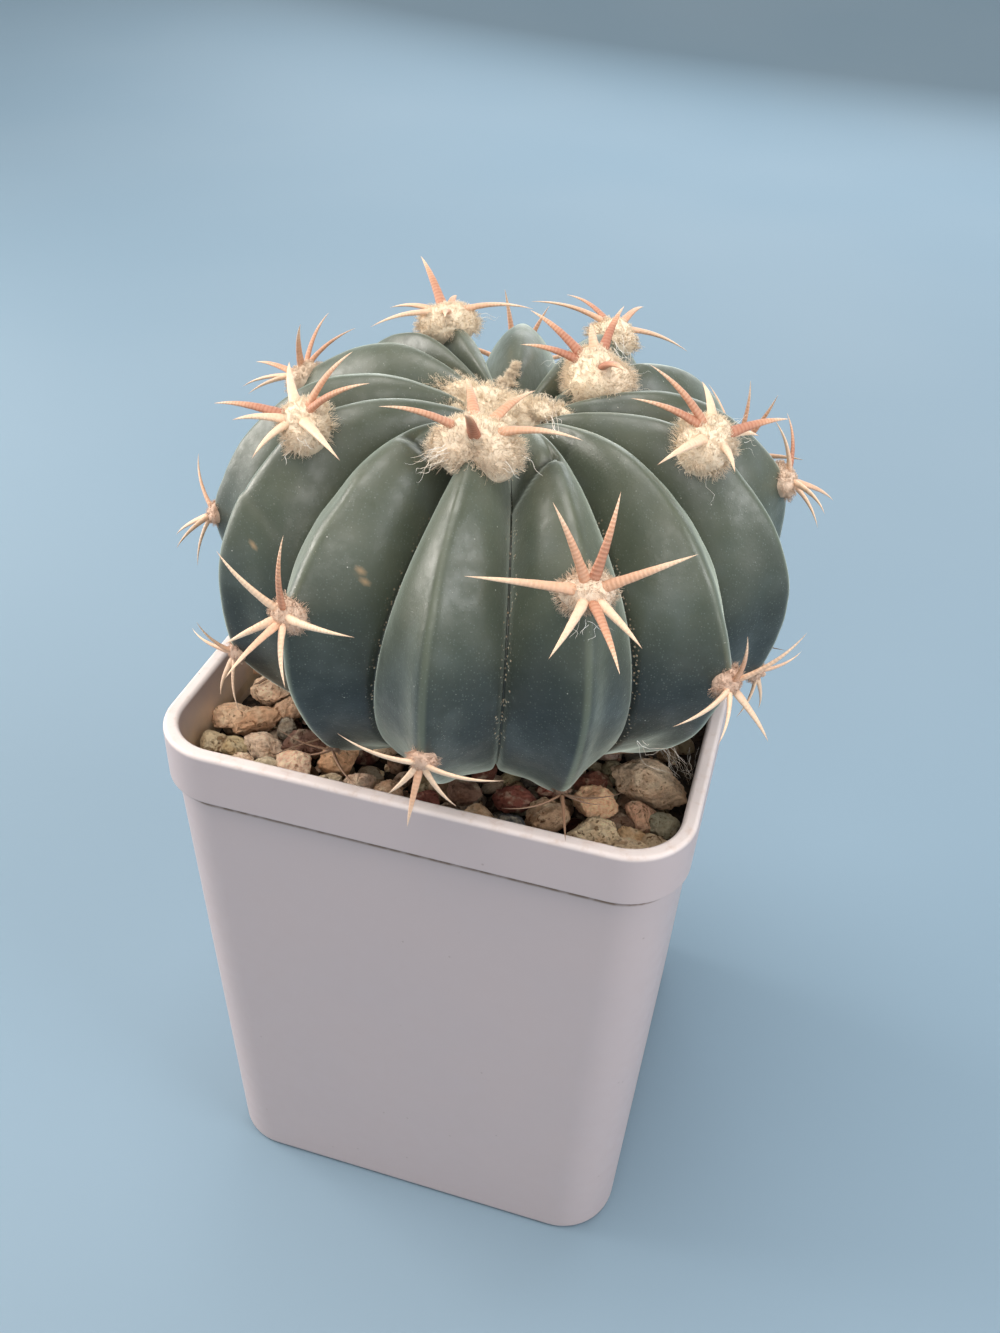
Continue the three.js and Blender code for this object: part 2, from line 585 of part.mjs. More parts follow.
function makeCrownWool() {
  const draw = makeDraw(CROWN_SEED);
  const geometry = mergeVertices(new THREE.IcosahedronGeometry(1, 1).deleteAttribute("uv")
    .deleteAttribute("normal"), 1e-3);
  const position = geometry.attributes.position;
  for (let i = 0; i < position.count; i += 1) {
    const lump = between(...CROWN_LUMPS, draw());
    position.setXYZ(i,
      CENTRE.x - CROWN_WOOL.west + position.getX(i) * CROWN_WOOL.x * lump,
      CENTRE.y + position.getY(i) * CROWN_WOOL.y * lump,
      CROWN_WOOL.height + position.getZ(i) * CROWN_WOOL.z * lump);
  }
  const neighbours = allAreoles.flatMap((areole, number) => (areole.height > CROWN_NEIGHBOURS_FROM
    ? areoleParts(areole, number, CLEARANCE) : []));
  return largestPiece(toSolid(geometry).subtract(bodyRoom).subtract(wasm.Manifold.union(neighbours)));
}

// Assembly
const object = new THREE.Group();
object.name = "potted_ribbed_cactus";

function addPiece(name, solid, { color, roughness }) {
  const material = new THREE.MeshStandardMaterial({ color, roughness, metalness: 0 });
  const mesh = new THREE.Mesh(toGeometry(solid), material);
  mesh.name = name;
  object.add(mesh);
}

addPiece("pot", makePot(), COLOURS.pot);
addPiece("substrate", makeSubstrate(), COLOURS.substrate);
addPiece("gravel", makeGravel(), COLOURS.gravel);
addPiece("cactus_body", bodySolid, COLOURS.skin);
addPiece("crown_wool", makeCrownWool(), COLOURS.wool);
areoleSolids.forEach((solid, number) => {
  const { rib, height } = allAreoles[number];
  const lowerLevel = height > MIDDLE_FROM ? "middle" : "lower";
  const level = height > UPPER_FROM ? "upper" : lowerLevel;
  addPiece(`areole_rib_${String(rib + 1).padStart(2, "0")}_${level}`, solid, COLOURS.areole);
});

export default object;
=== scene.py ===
# A ribbed globe cactus in its square pot: skin, wool, spines, pitted gravel and the moulded pot.
# Metres, +Z up, the pot's front face towards -Y. Tables in millimetres and degrees say so.

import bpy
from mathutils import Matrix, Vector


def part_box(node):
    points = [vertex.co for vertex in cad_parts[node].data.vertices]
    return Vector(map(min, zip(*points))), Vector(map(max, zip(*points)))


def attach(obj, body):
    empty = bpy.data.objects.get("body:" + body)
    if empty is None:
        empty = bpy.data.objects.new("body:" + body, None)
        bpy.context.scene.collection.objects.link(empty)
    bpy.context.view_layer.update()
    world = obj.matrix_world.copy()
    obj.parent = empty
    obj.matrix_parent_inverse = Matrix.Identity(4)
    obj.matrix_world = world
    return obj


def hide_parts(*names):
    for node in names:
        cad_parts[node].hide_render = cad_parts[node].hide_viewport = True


bl_info = {
    "name": "Ribbed cactus in a square pot",
    "version": (1, 0, 0),
    "blender": (4, 5, 0),
    "location": "View3D > Sidebar > Cactus",
    "description": "Builds the fine surfaces of a potted ribbed cactus around its fixed solids",
    "category": "Object",
}

import math

import bmesh
import bpy
import numpy as np
from mathutils import Matrix, Vector, noise

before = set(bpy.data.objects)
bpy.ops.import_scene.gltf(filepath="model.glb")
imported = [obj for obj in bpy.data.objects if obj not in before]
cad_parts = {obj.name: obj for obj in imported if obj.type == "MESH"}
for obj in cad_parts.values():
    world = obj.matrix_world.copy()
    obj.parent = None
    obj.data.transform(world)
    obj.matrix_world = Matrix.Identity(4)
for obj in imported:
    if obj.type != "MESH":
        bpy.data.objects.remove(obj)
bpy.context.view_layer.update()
POT_LOW, POT_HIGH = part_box("pot")
MM = 0.001

# Pot, as moulded: a tapered square with a straight collar under the lip
POT_WIDTH = POT_HIGH.x - POT_LOW.x
POT_HEIGHT = POT_HIGH.z - POT_LOW.z
COLLAR_HEIGHT = 9.2 * MM
COLLAR_STEP = 1.2 * MM
COLLAR_CORNER = 10 * MM
COLLAR_EDGE = 0.35 * MM
LIP_THICKNESS = 2.3 * MM
LIP_ROUNDING = 0.7 * MM
BASE_WIDTH = 73.6 * MM
BASE_CORNER = 9.9 * MM
BASE_EDGE = 1.2 * MM
WALL = 1.4 * MM
FLOOR = 2.4 * MM
UNDERCUT = 0.4 * MM
DRAIN_HOLE_RADIUS = 4 * MM
DRAIN_HOLE_OFFSET = 19 * MM
DRAIN_HOLE_SIDES = 32
CORNER_STEPS = 14
EDGE_STEPS = 5

# Filling: soil with loose grit, and a close layer of smaller stones. Drifts, corners and shares of a
# size are in millimetres or without a unit.
CLEARANCE = 0.3 * MM
SOIL_BOTTOM = 87.9 * MM
SOIL_TOP = 89.4 * MM
SOIL_CELLS = 76
SOIL_LUMP = 5 * MM
SOIL_ROUGHNESS = 0.6 * MM
GRIT_TOP = 92 * MM
GRIT_DEPTH = 1.6 * MM
GRIT_FROM_WALL = 3
GRIT_SIZES = (0.5, 1.5)
GRIT_BREADTHS = (0.7, 1)
GRIT_SEED = 41
LOWER_STONES_HEIGHT = 90.4 * MM
LOWER_STONES_RISE = 0.5 * MM
LOWER_STONES_SHADE = 0.4
LOWER_STONES_DRIFT = 0.7
LOWER_STONES_CORNER = 5
LOWER_STONES_SIZES = (0.75, 1.15)
LOWER_STONES_BREADTHS = (0.75, 1)
ROW_PITCH = 0.87
STONES_SEED = 17

# Upper pebbles are placed by the same seeded rule as their solids, in millimetres
PEBBLE_COUNT = 88
PEBBLE_SMALL = 3.8
PEBBLE_LARGE = 7.6
PEBBLE_SLIM = 0.72
PEBBLE_FLAT = 0.8
PEBBLE_SEAT = 0.28
PEBBLE_SPACING = 0.43
PEBBLE_FROM_ROOT = 5
PEBBLE_TRIES = 9000
PEBBLE_SEED = 7
PEBBLE_WALL_GAP = 0.6
PEBBLE_SIZE_DRAW = 0.8
# A place at the right wall where no pebble lies: x, y and radius
BARE_POCKET = (34, -7, 8)

# Pebbles along the front and the front corners, as x, y, length, breadth, turn and kind of stone
FRONT_PEBBLES = (
    (-34.2, -22.6, 7.2, 5.4, 15, "peach"), (-30.2, -21.6, 8.2, 5, 50, "tan"),
    (-27, -26.8, 6.2, 5, -10, "cream"), (-34.6, -28.6, 4.8, 4.2, 0, "olive"),
    (-31.2, -28.8, 4.6, 4.2, 30, "olive"), (-28.2, -32, 4.6, 4.2, 0, "cream"),
    (-24.6, -31.4, 4.4, 3.8, 40, "cream"), (-31.5, -14.5, 7, 5.6, -20, "cream"),
    (-34.8, -8.4, 5, 4.4, 60, "tan"), (-26.8, -17.4, 5.6, 4.6, 70, "peach"),
    (-25.4, -21.6, 4, 3.6, 0, "grey"), (-21.2, -24.6, 8.2, 5.4, 15, "brown"),
    (-20.4, -29.8, 6.6, 5, 8, "cream"), (-14.8, -26, 7, 6, 15, "tan"),
    (-14.2, -31.4, 4.6, 4.2, 0, "cream"), (-9.4, -30.8, 5.8, 4.6, 10, "cream"),
    (-5.2, -30, 5.2, 4.4, -20, "peach"), (0.8, -30.8, 4.8, 4.2, 30, "terracotta"),
    (5.4, -27, 5.2, 4.6, 0, "brown"), (9, -31, 4.8, 4.2, 20, "tan"),
    (13, -25.8, 6.2, 5, 20, "terracotta"), (17.4, -21.6, 5, 4.4, 0, "terracotta"),
    (18.4, -28, 6.8, 6, 40, "tan"), (13.6, -31.4, 4.6, 4.2, 0, "slate"),
    (24.4, -23.6, 7, 6, -20, "peach"), (25.6, -29.8, 7.6, 6, 10, "cream"),
    (22.8, -18.8, 5.4, 4.6, 0, "terracotta"), (31.4, -17.4, 12.4, 8, -5, "cream"),
    (31.4, -23.6, 5.8, 5, -60, "peach"), (35, -24, 4.8, 4.4, 0, "grey"),
    (28.4, -26.4, 5, 4.4, 20, "brown"), (30.8, -28.2, 4.6, 4, 0, "tan"),
    (31.4, -31.4, 6, 5, 10, "cream"), (34.6, -29, 5, 4.6, 0, "olive"),
)
STONE_KINDS = {
    "cream": (1, 0.78, 0.54),
    "tan": (0.85, 0.56, 0.34),
    "peach": (1, 0.64, 0.42),
    "olive": (0.88, 0.72, 0.45),
    "grey": (0.42, 0.35, 0.28),
    "slate": (0.1, 0.1, 0.11),
    "brown": (0.22, 0.13, 0.09),
    "terracotta": (0.25, 0.09, 0.062),
}
# Shape of a stone, in its own radii. Lumps and crumbs are given as share and size.
STONE_SWELL = 1.02
STONE_LUMPS = ((0.14, 0.9), (0.06, 0.36))
STONE_CRUMBS = ((0.085, 0.24), (0.06, 0.11))
CRUMB_SHADE = 0.1
STONE_CHIPS = 9
CHIP_PLACE = (0.66, 0.88)
CHIP_CUT = 0.92
STONE_PITS = 8
PIT_SIZE = (0.14, 0.3)
PIT_DEPTH = (0.04, 0.13)
STONE_PORES = 40
PORE_SIZE = (0.07, 0.17)
PORE_DEPTH = (0.03, 0.08)
PORE_SOFTNESS = 0.7
STONE_SHADES = (0.8, 1.15)
STONE_HUES = (0.94, 1.06)
STONE_TILT = 0.25
# How strong the painted shade in the hollows and on the underside is, and the subdivisions of the balls that
# become stones
UNDERSIDE_SHADE = (0.15, -0.6)
SUNK_SHADE = 0.75
FRONT_DETAIL = 5
OTHER_DETAIL = 3
LOWER_DETAIL = 2
GRIT_DETAIL = 1
STONE_MIX = ("cream", "cream", "tan", "peach", "cream", "olive", "grey", "brown", "terracotta", "tan")

# Cactus body: reach from its centre, and depth of the grooves, every 20 degrees down from the crown
CENTRE = MM * np.array((3.5, -4, 119.5))
STATION_STEP = 20
RIDGE_REACH = MM * np.array((21, 28.4, 36.4, 41, 42.6, 40.4, 35.6, 30.7, 28, 27))
GROOVE_DEPTH = MM * np.array((2.5, 7, 9, 8.5, 7, 5, 3.2, 2, 1, 0))
CREST_SHARE = np.array((0, 0, 0.05, 0.15, 0.3, 0.4, 0.45, 0.4, 0.3, 0.3))
CREST_WIDTH = 0.24
UPPER_FLANK = 2.4
LOWER_FLANK = 1.6
FLATTER_FROM = 28
FLATTER_BELOW = 4
TUBERCLE_HEIGHT = 0.8 * MM
TUBERCLE_SPAN = 7
TUBERCLE_WIDTH = 0.5
TWIST_SPAN = 60
LOWEST_ROW = -72
ROOT_SHARE = 0.1
ROOT_RADII = MM * np.array((0, 2.5, 5.3, 8.5, 8.5))
ROOT_HEIGHTS = MM * np.array((66, 67, 77.4, 92.4, 96))

# Ribs anticlockwise from the front one, in degrees: azimuth on the widest circle, and twist towards the
# crown. Each groove lies midway to the next rib, apart from the last one, which also sways with height.
RIBS = (
    (272.5, 1), (300, 1), (329, -5.5), (355.5, -5.5), (383, -8), (409, -8), (435, -4),
    (465, -4), (487, 3), (508, -5), (528, -12), (553, -1.5), (579, -3), (605.5, 1.5),
)
RIB_AZIMUTH, RIB_TWIST = (np.array(column, float) for column in zip(*RIBS))
RIB_GROOVE = np.array((0.5,) * (len(RIBS) - 1) + (0.47,))
RIB_SWAY = np.array((0,) * (len(RIBS) - 1) + (0.18,))
CORKY_GROOVES = {0: 1, 1: 0.8, 13: 0.45, 12: 0.25}

# Fine shape of the skin: rows and columns, the crease in each groove, waves, and cork in some grooves
COLUMNS_PER_RIB = 36
SKIN_ROWS = 190
COLUMN_WARP = 0.55
CREASE_DEPTH = 0.7 * MM
CREASE_WIDTH = 0.045
CREASE_FADE = (4, 22)
WAVINESS = 0.22 * MM
WAVES = ((1, 9 * MM), (0.4, 3.5 * MM))
WAVE_FADE = (0.85, 1)
WAVE_SEED = 3
CORK_SEED = 8
CORK_WIDTH = 0.075
CORK_NARROWEST = 0.02
CORK_WANDER = 0.8
CORK_LENGTH = 2.2 * MM
CORK_TOP = (-62, -38)
CORK_BOTTOM = (-35, -10)

# Folds where a rib's newer part tucks behind the older: rib, side from and to, height angle on the
# ridge, how far the fold drops to the groove in degrees, and depth in mm
FOLDS = (
    (1, -0.95, 0.12, 53.8, 9, 2.2), (13, -0.05, 0.5, 53.6, 6, 1.8), (2, -0.8, -0.3, 62, 6, 0.9),
    (12, -0.1, 0.6, 26, 8, 0.4), (8, -0.1, 0.9, 43, 9, 0.7), (5, -0.8, 0, 55, 8, 0.6),
    (10, -0.7, 0.1, 20, 8, 0.5),
)
# Width of a fold's edge, its fade, the curve of its drop, and place and width of its line of painted shade
FOLD_EDGE = 1
FOLD_FADE = 6
FOLD_CURVE = 1.6
FOLD_LINE_HEIGHT = 0.5
FOLD_LINE_WIDTH = 1.1
FOLD_FULL_SHADE_DEPTH = 2
# Where a fold's ends fade, before and after the sides given for it
FOLD_END_BEFORE = 0.12
FOLD_END_AFTER = 0.05
# A scar's soft edge, in its radii
SCAR_EDGE = (0.6, 1.3)
# Shallow dents: rib, side, height angle, half widths in side and height, and depth in mm
DENTS = (
    (2, -0.3, 40, 0.4, 5, 0.4), (0, 0.3, 30, 0.3, 6, 0.35), (13, -0.3, 36, 0.35, 4, 0.4),
    (3, -0.4, 22, 0.4, 5, 0.4), (8, 0.2, 28, 0.4, 4, 0.5), (6, -0.2, 20, 0.4, 5, 0.4),
    (10, 0.3, 8, 0.4, 5, 0.4), (1, 0.4, 12, 0.3, 7, 0.35), (12, 0.3, 34, 0.3, 4, 0.4),
)
# Small tan scars: rib, side, height angle and radius in mm
SCARS = (
    (13, 0.6, 25.5, 0.55), (13, 0.66, 23.5, 0.3), (12, 0.4, 18, 0.4), (4, 0.3, 8, 0.6), (8, -0.5, 22, 0.5),
)

# Areoles: rib, height angle, width of the wool in mm, and spines as turn, lean, length in mm and
# redness. A spine turns clockwise from the way up the rib, and leans out from the skin.
AREOLES = (
    (0, 56, 13.5, ((-22, 17, 12, 0.6), (28, 18, 11.5, 0.55), (-107, 22, 13, 0.7), (92, 12, 13.5, 0.45),
                   (178, 44, 11, 1))),
    (0, -6, 4.6, ((-60, 9, 11.5, 0.1), (80, 7, 11.5, 0.12), (-140, 26, 7, 0.1), (-173, 32, 10, 0.4),
                  (140, 16, 8, 0.1))),
    (1, 27, 8, ((-25, 26, 12.5, 0.55), (18, 24, 12.5, 0.8), (-78, 2, 15, 0.35), (76, 24, 13.5, 0.4),
                (-137, 24, 11, 0), (148, 26, 9.5, 0.05), (178, 38, 12.5, 0.7))),
    (1, -20, 3.6, ((-70, 8, 10, 0.3), (-20, 50, 9, 0.35), (45, 9, 10, 0.2), (85, 24, 6, 0.3))),
    (2, 4, 5.8, ((0, 10, 9, 0.5), (40, 28, 12, 0.25), (-90, 2, 11.5, 0.15), (-115, 30, 9, 0.1),
                 (165, 38, 10, 0.15))),
    (3, 43.5, 11.5, ((-4, 21, 13, 0.7), (-21, 6, 12.5, 0.8), (55, 15, 9.5, 0.05), (133, 27, 11.5, 0.85),
                     (128, 8, 8.5, 0), (-70, 0, 12.5, 0.15), (-125, 16, 8, 0.05))),
    (3, -12.5, 4.2, ((75, 32, 9.5, 0.3), (165, 36, 9, 0.15), (-150, 16, 7.5, 0.15), (125, 18, 12, 0.3))),
    (4, 19, 6.6, ((5, 5, 10.5, 0.2), (70, 20, 11.5, 0.85), (165, 33, 11.5, 0.35), (-90, 16, 10.5, 0.1),
                  (-140, 14, 8.5, 0.2))),
    (5, 65, 13, ((64, 36, 13, 0.85), (35, 27, 11.5, 0.9), (143, 21, 12, 0.95), (-83, 28, 12.5, 0.9),
                 (115, 56, 7, 0.1))),
    (6, 44, 9, ((108, 17, 12.5, 0.8), (63, 4, 13.5, 0.35), (173, 25, 13, 0.5), (-125, 4, 12, 0.3))),
    (8, 50, 10.5, ((178, 42, 13, 0.75), (140, 10, 10.5, 0.3), (80, 4, 13, 0.2), (-68, 4, 13, 0.35),
                   (21, 12, 9, 0.5), (-150, 16, 9, 0.5))),
    (10, 27, 7.6, ((-40, 6, 11, 0.6), (-58, 33, 12, 0.6), (25, 25, 10, 0.5), (-160, 46, 12, 0.6),
                   (175, 32, 12, 0.2), (138, 20, 9, 0.2))),
    (11, 7, 4.6, ((-55, 24, 10.5, 0.4), (-150, 42, 11, 0.2), (110, 28, 8.5, 0.2), (155, 14, 8.5, 0.1))),
    (12, 42.5, 10.5, ((-75, 14, 12, 0.05), (12, 28, 12, 0.55), (36, 15, 12.5, 0.75), (-138, 26, 12.5, 0.85),
                      (-165, 32, 9, 0.1), (160, 8, 8.5, 0.05), (84, 0, 13.5, 0.1))),
    (12, -9, 4.2, ((-85, 24, 11, 0.3), (0, 16, 8, 0.3), (170, 27, 9.5, 0.2), (-155, 34, 10.5, 0.2))),
    (13, 15, 6.2, ((-56, 28, 11.5, 0.1), (3, 19, 12, 0.75), (76, 6, 13, 0.1), (178, 50, 11, 0.35),
                   (-136, 20, 9.5, 0.2), (140, 22, 9.5, 0.2))),
    (13, -23.5, 3.4, ((-60, 8, 9.5, 0.45), (-115, 26, 8, 0.4), (75, 12, 9.5, 0.4))),
    (7, 17, 7.6, ()), (9, 5, 6.6, ()), (5, 10, 6.6, ()), (6, -8, 4.8, ()), (8, -2, 5.4, ()),
    (4, -23, 3.6, ()), (7, -22, 3.6, ()), (10, -19, 3.8, ()),
)
USUAL_STAR = ((20, 26, 13, 0.6), (75, 18, 14, 0.4), (130, 24, 12.5, 0.1), (178, 42, 12, 0.75),
              (-130, 24, 12.5, 0.1), (-75, 18, 14, 0.35), (-20, 28, 12.5, 0.7))
WORN_STAR = ((-85, 18, 12, 0.15), (-40, 20, 12.5, 0.3), (10, 30, 11, 0.3), (55, 18, 12.5, 0.2),
             (95, 20, 11, 0.1))
# Where the worn star begins, and how far a star drawn for an areole may drift from the usual one
WORN_BELOW = -10
STAR_DRIFT_TURN = 9
STAR_DRIFT_LEAN = 3
STAR_DRIFT_LENGTH = 0.08
SPINE_SEED = 100
# Height angles at which areoles are named upper or middle, and at which their wool and spines are dry
UPPER_FROM = 35
MIDDLE_FROM = -3
DRY_FROM = -16
DRY_BELOW = -19

# Spines: their width grows with the areole's wool
SPINE_WIDTH_AT_NO_WOOL = 0.37
SPINE_WIDTH_PER_MM = 0.065
SPINE_WIDEST = 1.1
SPINE_BEND = 0.07
SPINE_ROOT = 0.12
SPINE_SIDES = 8
SPINE_RINGS = 26
SPINE_FLATNESS = 0.62
SPINE_TAPER = 1.6
# The swelling near the root, as its share of the width, place and length, and the rings' share and pace
SPINE_SWELLING = (0.1, 0.12, 0.1)
SPINE_RIPPLE = (0.02, 40)
SPINE_BAND = 0.58 * MM

# Wool: a pad's half length and height in widths of it, then the crown's
WOOL_LENGTH = 0.42
WOOL_HEIGHT = 0.36
WOOL_SINK = 0.06
CROWN_MIDDLE = MM * np.array((2.3, -4, 142.6))
CROWN_RADII = MM * np.array((8.2, 6.4, 3.4))
# Tufts of the crown in three arms and a middle, in mm: place and radius
CROWN_TUFTS = (
    (-9.8, 1.8, 144.8, 1.9), (-7.2, 0.6, 144.6, 2.4), (-4.4, -0.8, 144.4, 2.9),
    (1.7, 4.9, 146.9, 0.25), (1.4, 4, 146, 0.4), (1, 2.8, 145, 0.9),
    (10.2, -3, 144.2, 2.3), (7.4, -3.6, 144.4, 2.8), (4.4, -3.8, 144.6, 3.1),
    (-0.4, -3, 144.6, 3.5), (3, -7.6, 143.8, 3.1), (-4.6, -5.2, 143.8, 2.8),
)
# Fibres that stand on a pad
FIBRE_SIDES = 3
FIBRE_RINGS = 2
FIBRES_PER_TUFT = 14
FIBRE_LEAN = 0.5
FIBRE_PULL = (0.15, 0.8)
FIBRE_BEND = 0.12
FIBRE_STRAY = 0.16
FIBRE_WIDTHS = (0.6, 1.3)
FIBRE_THINNING = 0.9
FIBRE_LENGTHS = (0.6, 1.4)
FIBRE_LENGTH_ON_TOP = 0.65
FIBRE_LENGTH_AT_RIM = 0.75
FIBRES_ABOVE = -0.3
FIBRE_SINK = 0.03
FIBRE_TONES = 0.08
# The pad under the fibres, with a cleft in its lower side
CORE_SHARE = 0.86
CLEFT = 0.28
CLEFT_WIDTH = 0.5
CLEFT_PLACE = (0.2, 0.9)
# Wool by its width, tufts, lumps, and how wool dries at the soil and yellows with age
LARGE_WOOL = 7 * MM
WOOL_WIDTHS = (3 * MM, 13 * MM)
FIBRES_BY_WIDTH = (0.55, 1.15)
TUFT_HEIGHT = 0.6
TUFT_FIBRES_LEAST = 0.7
LARGE_WOOL_DETAIL = 4
SMALL_WOOL_DETAIL = 3
WOOL_LUMP = 0.34
PAD_SWELL = 0.98
PAD_LUMPS = ((0.12, 1), (0.06, 1 / 2.7))
CROWN_LUMP = 3.6 * MM
TUFT_LUMP = 1.8 * MM
DRY_SHRINK = 0.4
FRESH_RANGE = (2, 48)
# How fresh wool is in the middle, and how much paler it is up the pad and on top of it: partly fresher wool,
# partly painted light
PAD_FRESHNESS_AND_LIGHT = (0.86, 0.14, 0.06)
CROWN_FRESHNESS_AND_LIGHT = (0.9, 0.1)
WOOL_SEED = 500
CROWN_SEED = 90
CROWN_LUMP_SEED = 60
TUFT_LUMP_SEED = 70

# Loose strands, as areole, turn, lean, length in mm, spread in degrees and count
STRAND_BUNCHES = (
    (0, -142, -8, 7, 10, 12), (0, 135, -6, 5, 20, 3), (5, 118, -4, 7, 22, 18), (8, 70, 4, 6, 30, 6),
    (8, -120, 0, 6, 30, 3), (2, 176, 2, 4.5, 40, 8), (13, 100, -4, 5, 30, 4), (10, -105, -4, 6, 26, 3),
)
STRAND_RINGS = 9
STRAND_SIDES = 4
STRAND_WIDTH = 0.06 * MM
STRAND_CURL = 0.09
STRAND_BEATS = (0.6, 2.2)
STRAND_PHASES = (0, 6.3)
STRAND_WIDTHS = (0.6, 1.4)
STRAND_LENGTHS = (0.35, 0.8)
STRAND_THINNING = 0.5
# Where strands leave the wool, in widths of it: along the skin and out from it
STRAND_ROOTS = (0.3, 0.48)
STRAND_ROOT_RISE = (0, 0.15)
STRAND_LEAN_SPREAD = 8
STRAND_SEED = 23
# Webs and single threads, in mm: from, to, count and scatter
WEBS = (
    ((29.6, -27, 110.3), (34.6, -16, 98), 4, 1), ((33.4, -12, 97), (36.6, -15.5, 95.5), 8, 1.4),
    ((30.5, -8, 94), (34.5, -11, 94), 4, 1.4), ((36, -9, 96), (36.6, -15, 94), 4, 1),
    ((31.3, -10.5, 144.4), (33.4, -12.4, 139.8), 1, 0), ((12.6, -14, 146.4), (7, -2, 145.6), 6, 1.2),
    ((13.6, 17.4, 147), (17.5, 12.4, 146.4), 7, 1.2), ((30.8, -26.4, 129), (31, -27.6, 125.4), 5, 0.8),
)
# Dry spines that fell on the gravel, in mm: from, to and width
FALLEN_SPINES = (
    ((23.6, -7.6, 95), (28.2, -13.5, 96.2), 0.9), ((27.5, -12, 95.4), (21.6, -14.6, 95), 0.8),
    ((-27.4, -9, 96.2), (-33.6, -16.4, 96), 0.8), ((-16, -24.4, 97), (-23, -31.2, 96.2), 0.7),
    ((20, 26, 95.6), (29, 30.4, 96), 0.9), ((-28, 27, 95.8), (-34, 19, 96), 0.8),
)
FALLEN_CURL = 0.02

# Colours of marks. Those that shade a stone, the mottle, wool, rings and streaks are multiplied in.
PLASTIC_BLOTCH = (0.4, 0.38, 0.42)
LIP_TOP_PALE = (0.74, 0.65, 0.61)
LIP_STAIN = (0.5, 0.34, 0.25)
INSIDE_BOUNCE_LIGHT = (0.92, 0.68, 0.43)
SOIL_CRUMB = (0.075, 0.05, 0.034)
STONE_VEIN = (1.25, 1.2, 1.12)
STONE_PATCH = (0.68, 0.5, 0.4)
STONE_PALE = (0.95, 0.82, 0.58)
STONE_CRUMB_SHADE = (0.5, 0.38, 0.28)
STONE_HOLLOW_SHADE = (0.34, 0.22, 0.15)
STONE_PIT_SHADE = (0.36, 0.25, 0.17)
STONE_PORE_SHADE = (0.5, 0.4, 0.3)
SKIN_MOTTLE = (0.55, 0.65, 0.6)
SKIN_BLOOM = (0.13, 0.15, 0.145)
SKIN_STIPPLE = (0.17, 0.2, 0.17)
SKIN_CREASE_SHADE = (0.014, 0.017, 0.014)
SKIN_SCAR = (0.36, 0.24, 0.13)
SKIN_MOTE = (0.5, 0.46, 0.38)
SKIN_DUST = (0.62, 0.6, 0.52)
WAX_TINT = (0.9, 1, 0.86)
WOOL_DRY = (0.24, 0.15, 0.1)
WOOL_CLUMP = (0.96, 0.87, 0.78)
WOOL_THREAD = (0.72, 0.56, 0.42)
SPINE_RING = (0.72, 0.5, 0.4)
SPINE_STREAK = (0.85, 0.74, 0.62)
SPINE_TIP = (0.4, 0.22, 0.13)
SPINE_DRY = (0.15, 0.075, 0.038)
STRAND_PALE = (0.95, 0.92, 0.86)
STRAND_TAN = (0.85, 0.72, 0.58)
FLOOR_CLOUD = (0.5, 0.5, 0.5)

# Camera, in degrees, metres and pixels of a frame 1333 tall
CAMERA_AZIMUTH = 14.6385
CAMERA_ELEVATION = 36.9448
CAMERA_ROLL = 2.9427
CAMERA_AIM = Vector((0, 0, 0.09))
CAMERA_OFFSET = Vector((3.0421 * MM, 4.9576 * MM, 205.2927 * MM))
FOCAL_LENGTH_PIXELS = 1224
FRAME_HEIGHT_PIXELS = 1333
SENSOR = 36

# Stage: a flat floor that sweeps up all round, the wide light from above and the area lights
FLOOR_HALF = 4
FLOOR_FLAT = 0.7
FLOOR_SWEEP = 0.25
FLOOR_CELLS = 72
OVERHEAD_PLACE = (-0.1, -0.05, 0.8)
OVERHEAD_SPREAD = 45
OVERHEAD_COLOUR = (1, 0.975, 0.94)
AMBIENT_COLOUR = (0.97, 0.98, 1, 1)
LIGHT_AIM = Vector((0, 0, 0.11))
# Each by the name of its power's setting, with its place, width and height, and colour
AREA_LIGHTS = (
    ("left", (-0.62, 0, 0.3), (0.4, 0.45), (1, 0.95, 0.9)),
    ("right", (0.58, -0.14, 0.38), (0.35, 0.4), (0.97, 0.98, 1)),
    ("back", (0.05, 0.8, 0.42), (1.1, 0.6), (0.95, 0.98, 1)),
    ("front", (0.1, -0.6, 0.46), (0.45, 0.35), (1, 0.98, 0.95)),
)


# Settings

def length_setting(name, description, default):
    return bpy.props.FloatProperty(name=name, description=description, default=default, unit="LENGTH")


def amount_setting(name, description, default):
    return bpy.props.FloatProperty(name=name, description=description, default=default)


def count_setting(name, description, default):
    return bpy.props.IntProperty(name=name, description=description, default=default, min=0)


def colour_setting(name, description, default):
    return bpy.props.FloatVectorProperty(
        name=name, description=description, default=default, subtype="COLOR", min=0, max=1)


class PotSettings(bpy.types.PropertyGroup):
    width: length_setting("Rim width", "Side of the square over the collar", POT_WIDTH)
    height: length_setting("Height", "From the surface to the lip", POT_HEIGHT)
    colour: colour_setting("Plastic", "Colour of the moulded plastic", (0.5, 0.41, 0.405))
    # This colour is painted as dust on the lip, and also as painted shade under the collar's step.
    dirt_and_shade: colour_setting("Dirt", "Colour of the dust in the crease and on the lip", (0.16, 0.1, 0.065))


class GravelSettings(bpy.types.PropertyGroup):
    lower_spacing: length_setting("Lower spacing", "Distance between the stones of the lower layer", 3.9 * MM)
    lower_size: length_setting("Lower stones", "Length of a stone in the lower layer", 4.6 * MM)
    grit_count: count_setting("Grit", "Number of loose grains", 700)
    grit_size: length_setting("Grit size", "Length of a loose grain", 1.3 * MM)
    soil: colour_setting("Soil", "Colour of the soil under the stones", (0.022, 0.015, 0.011))


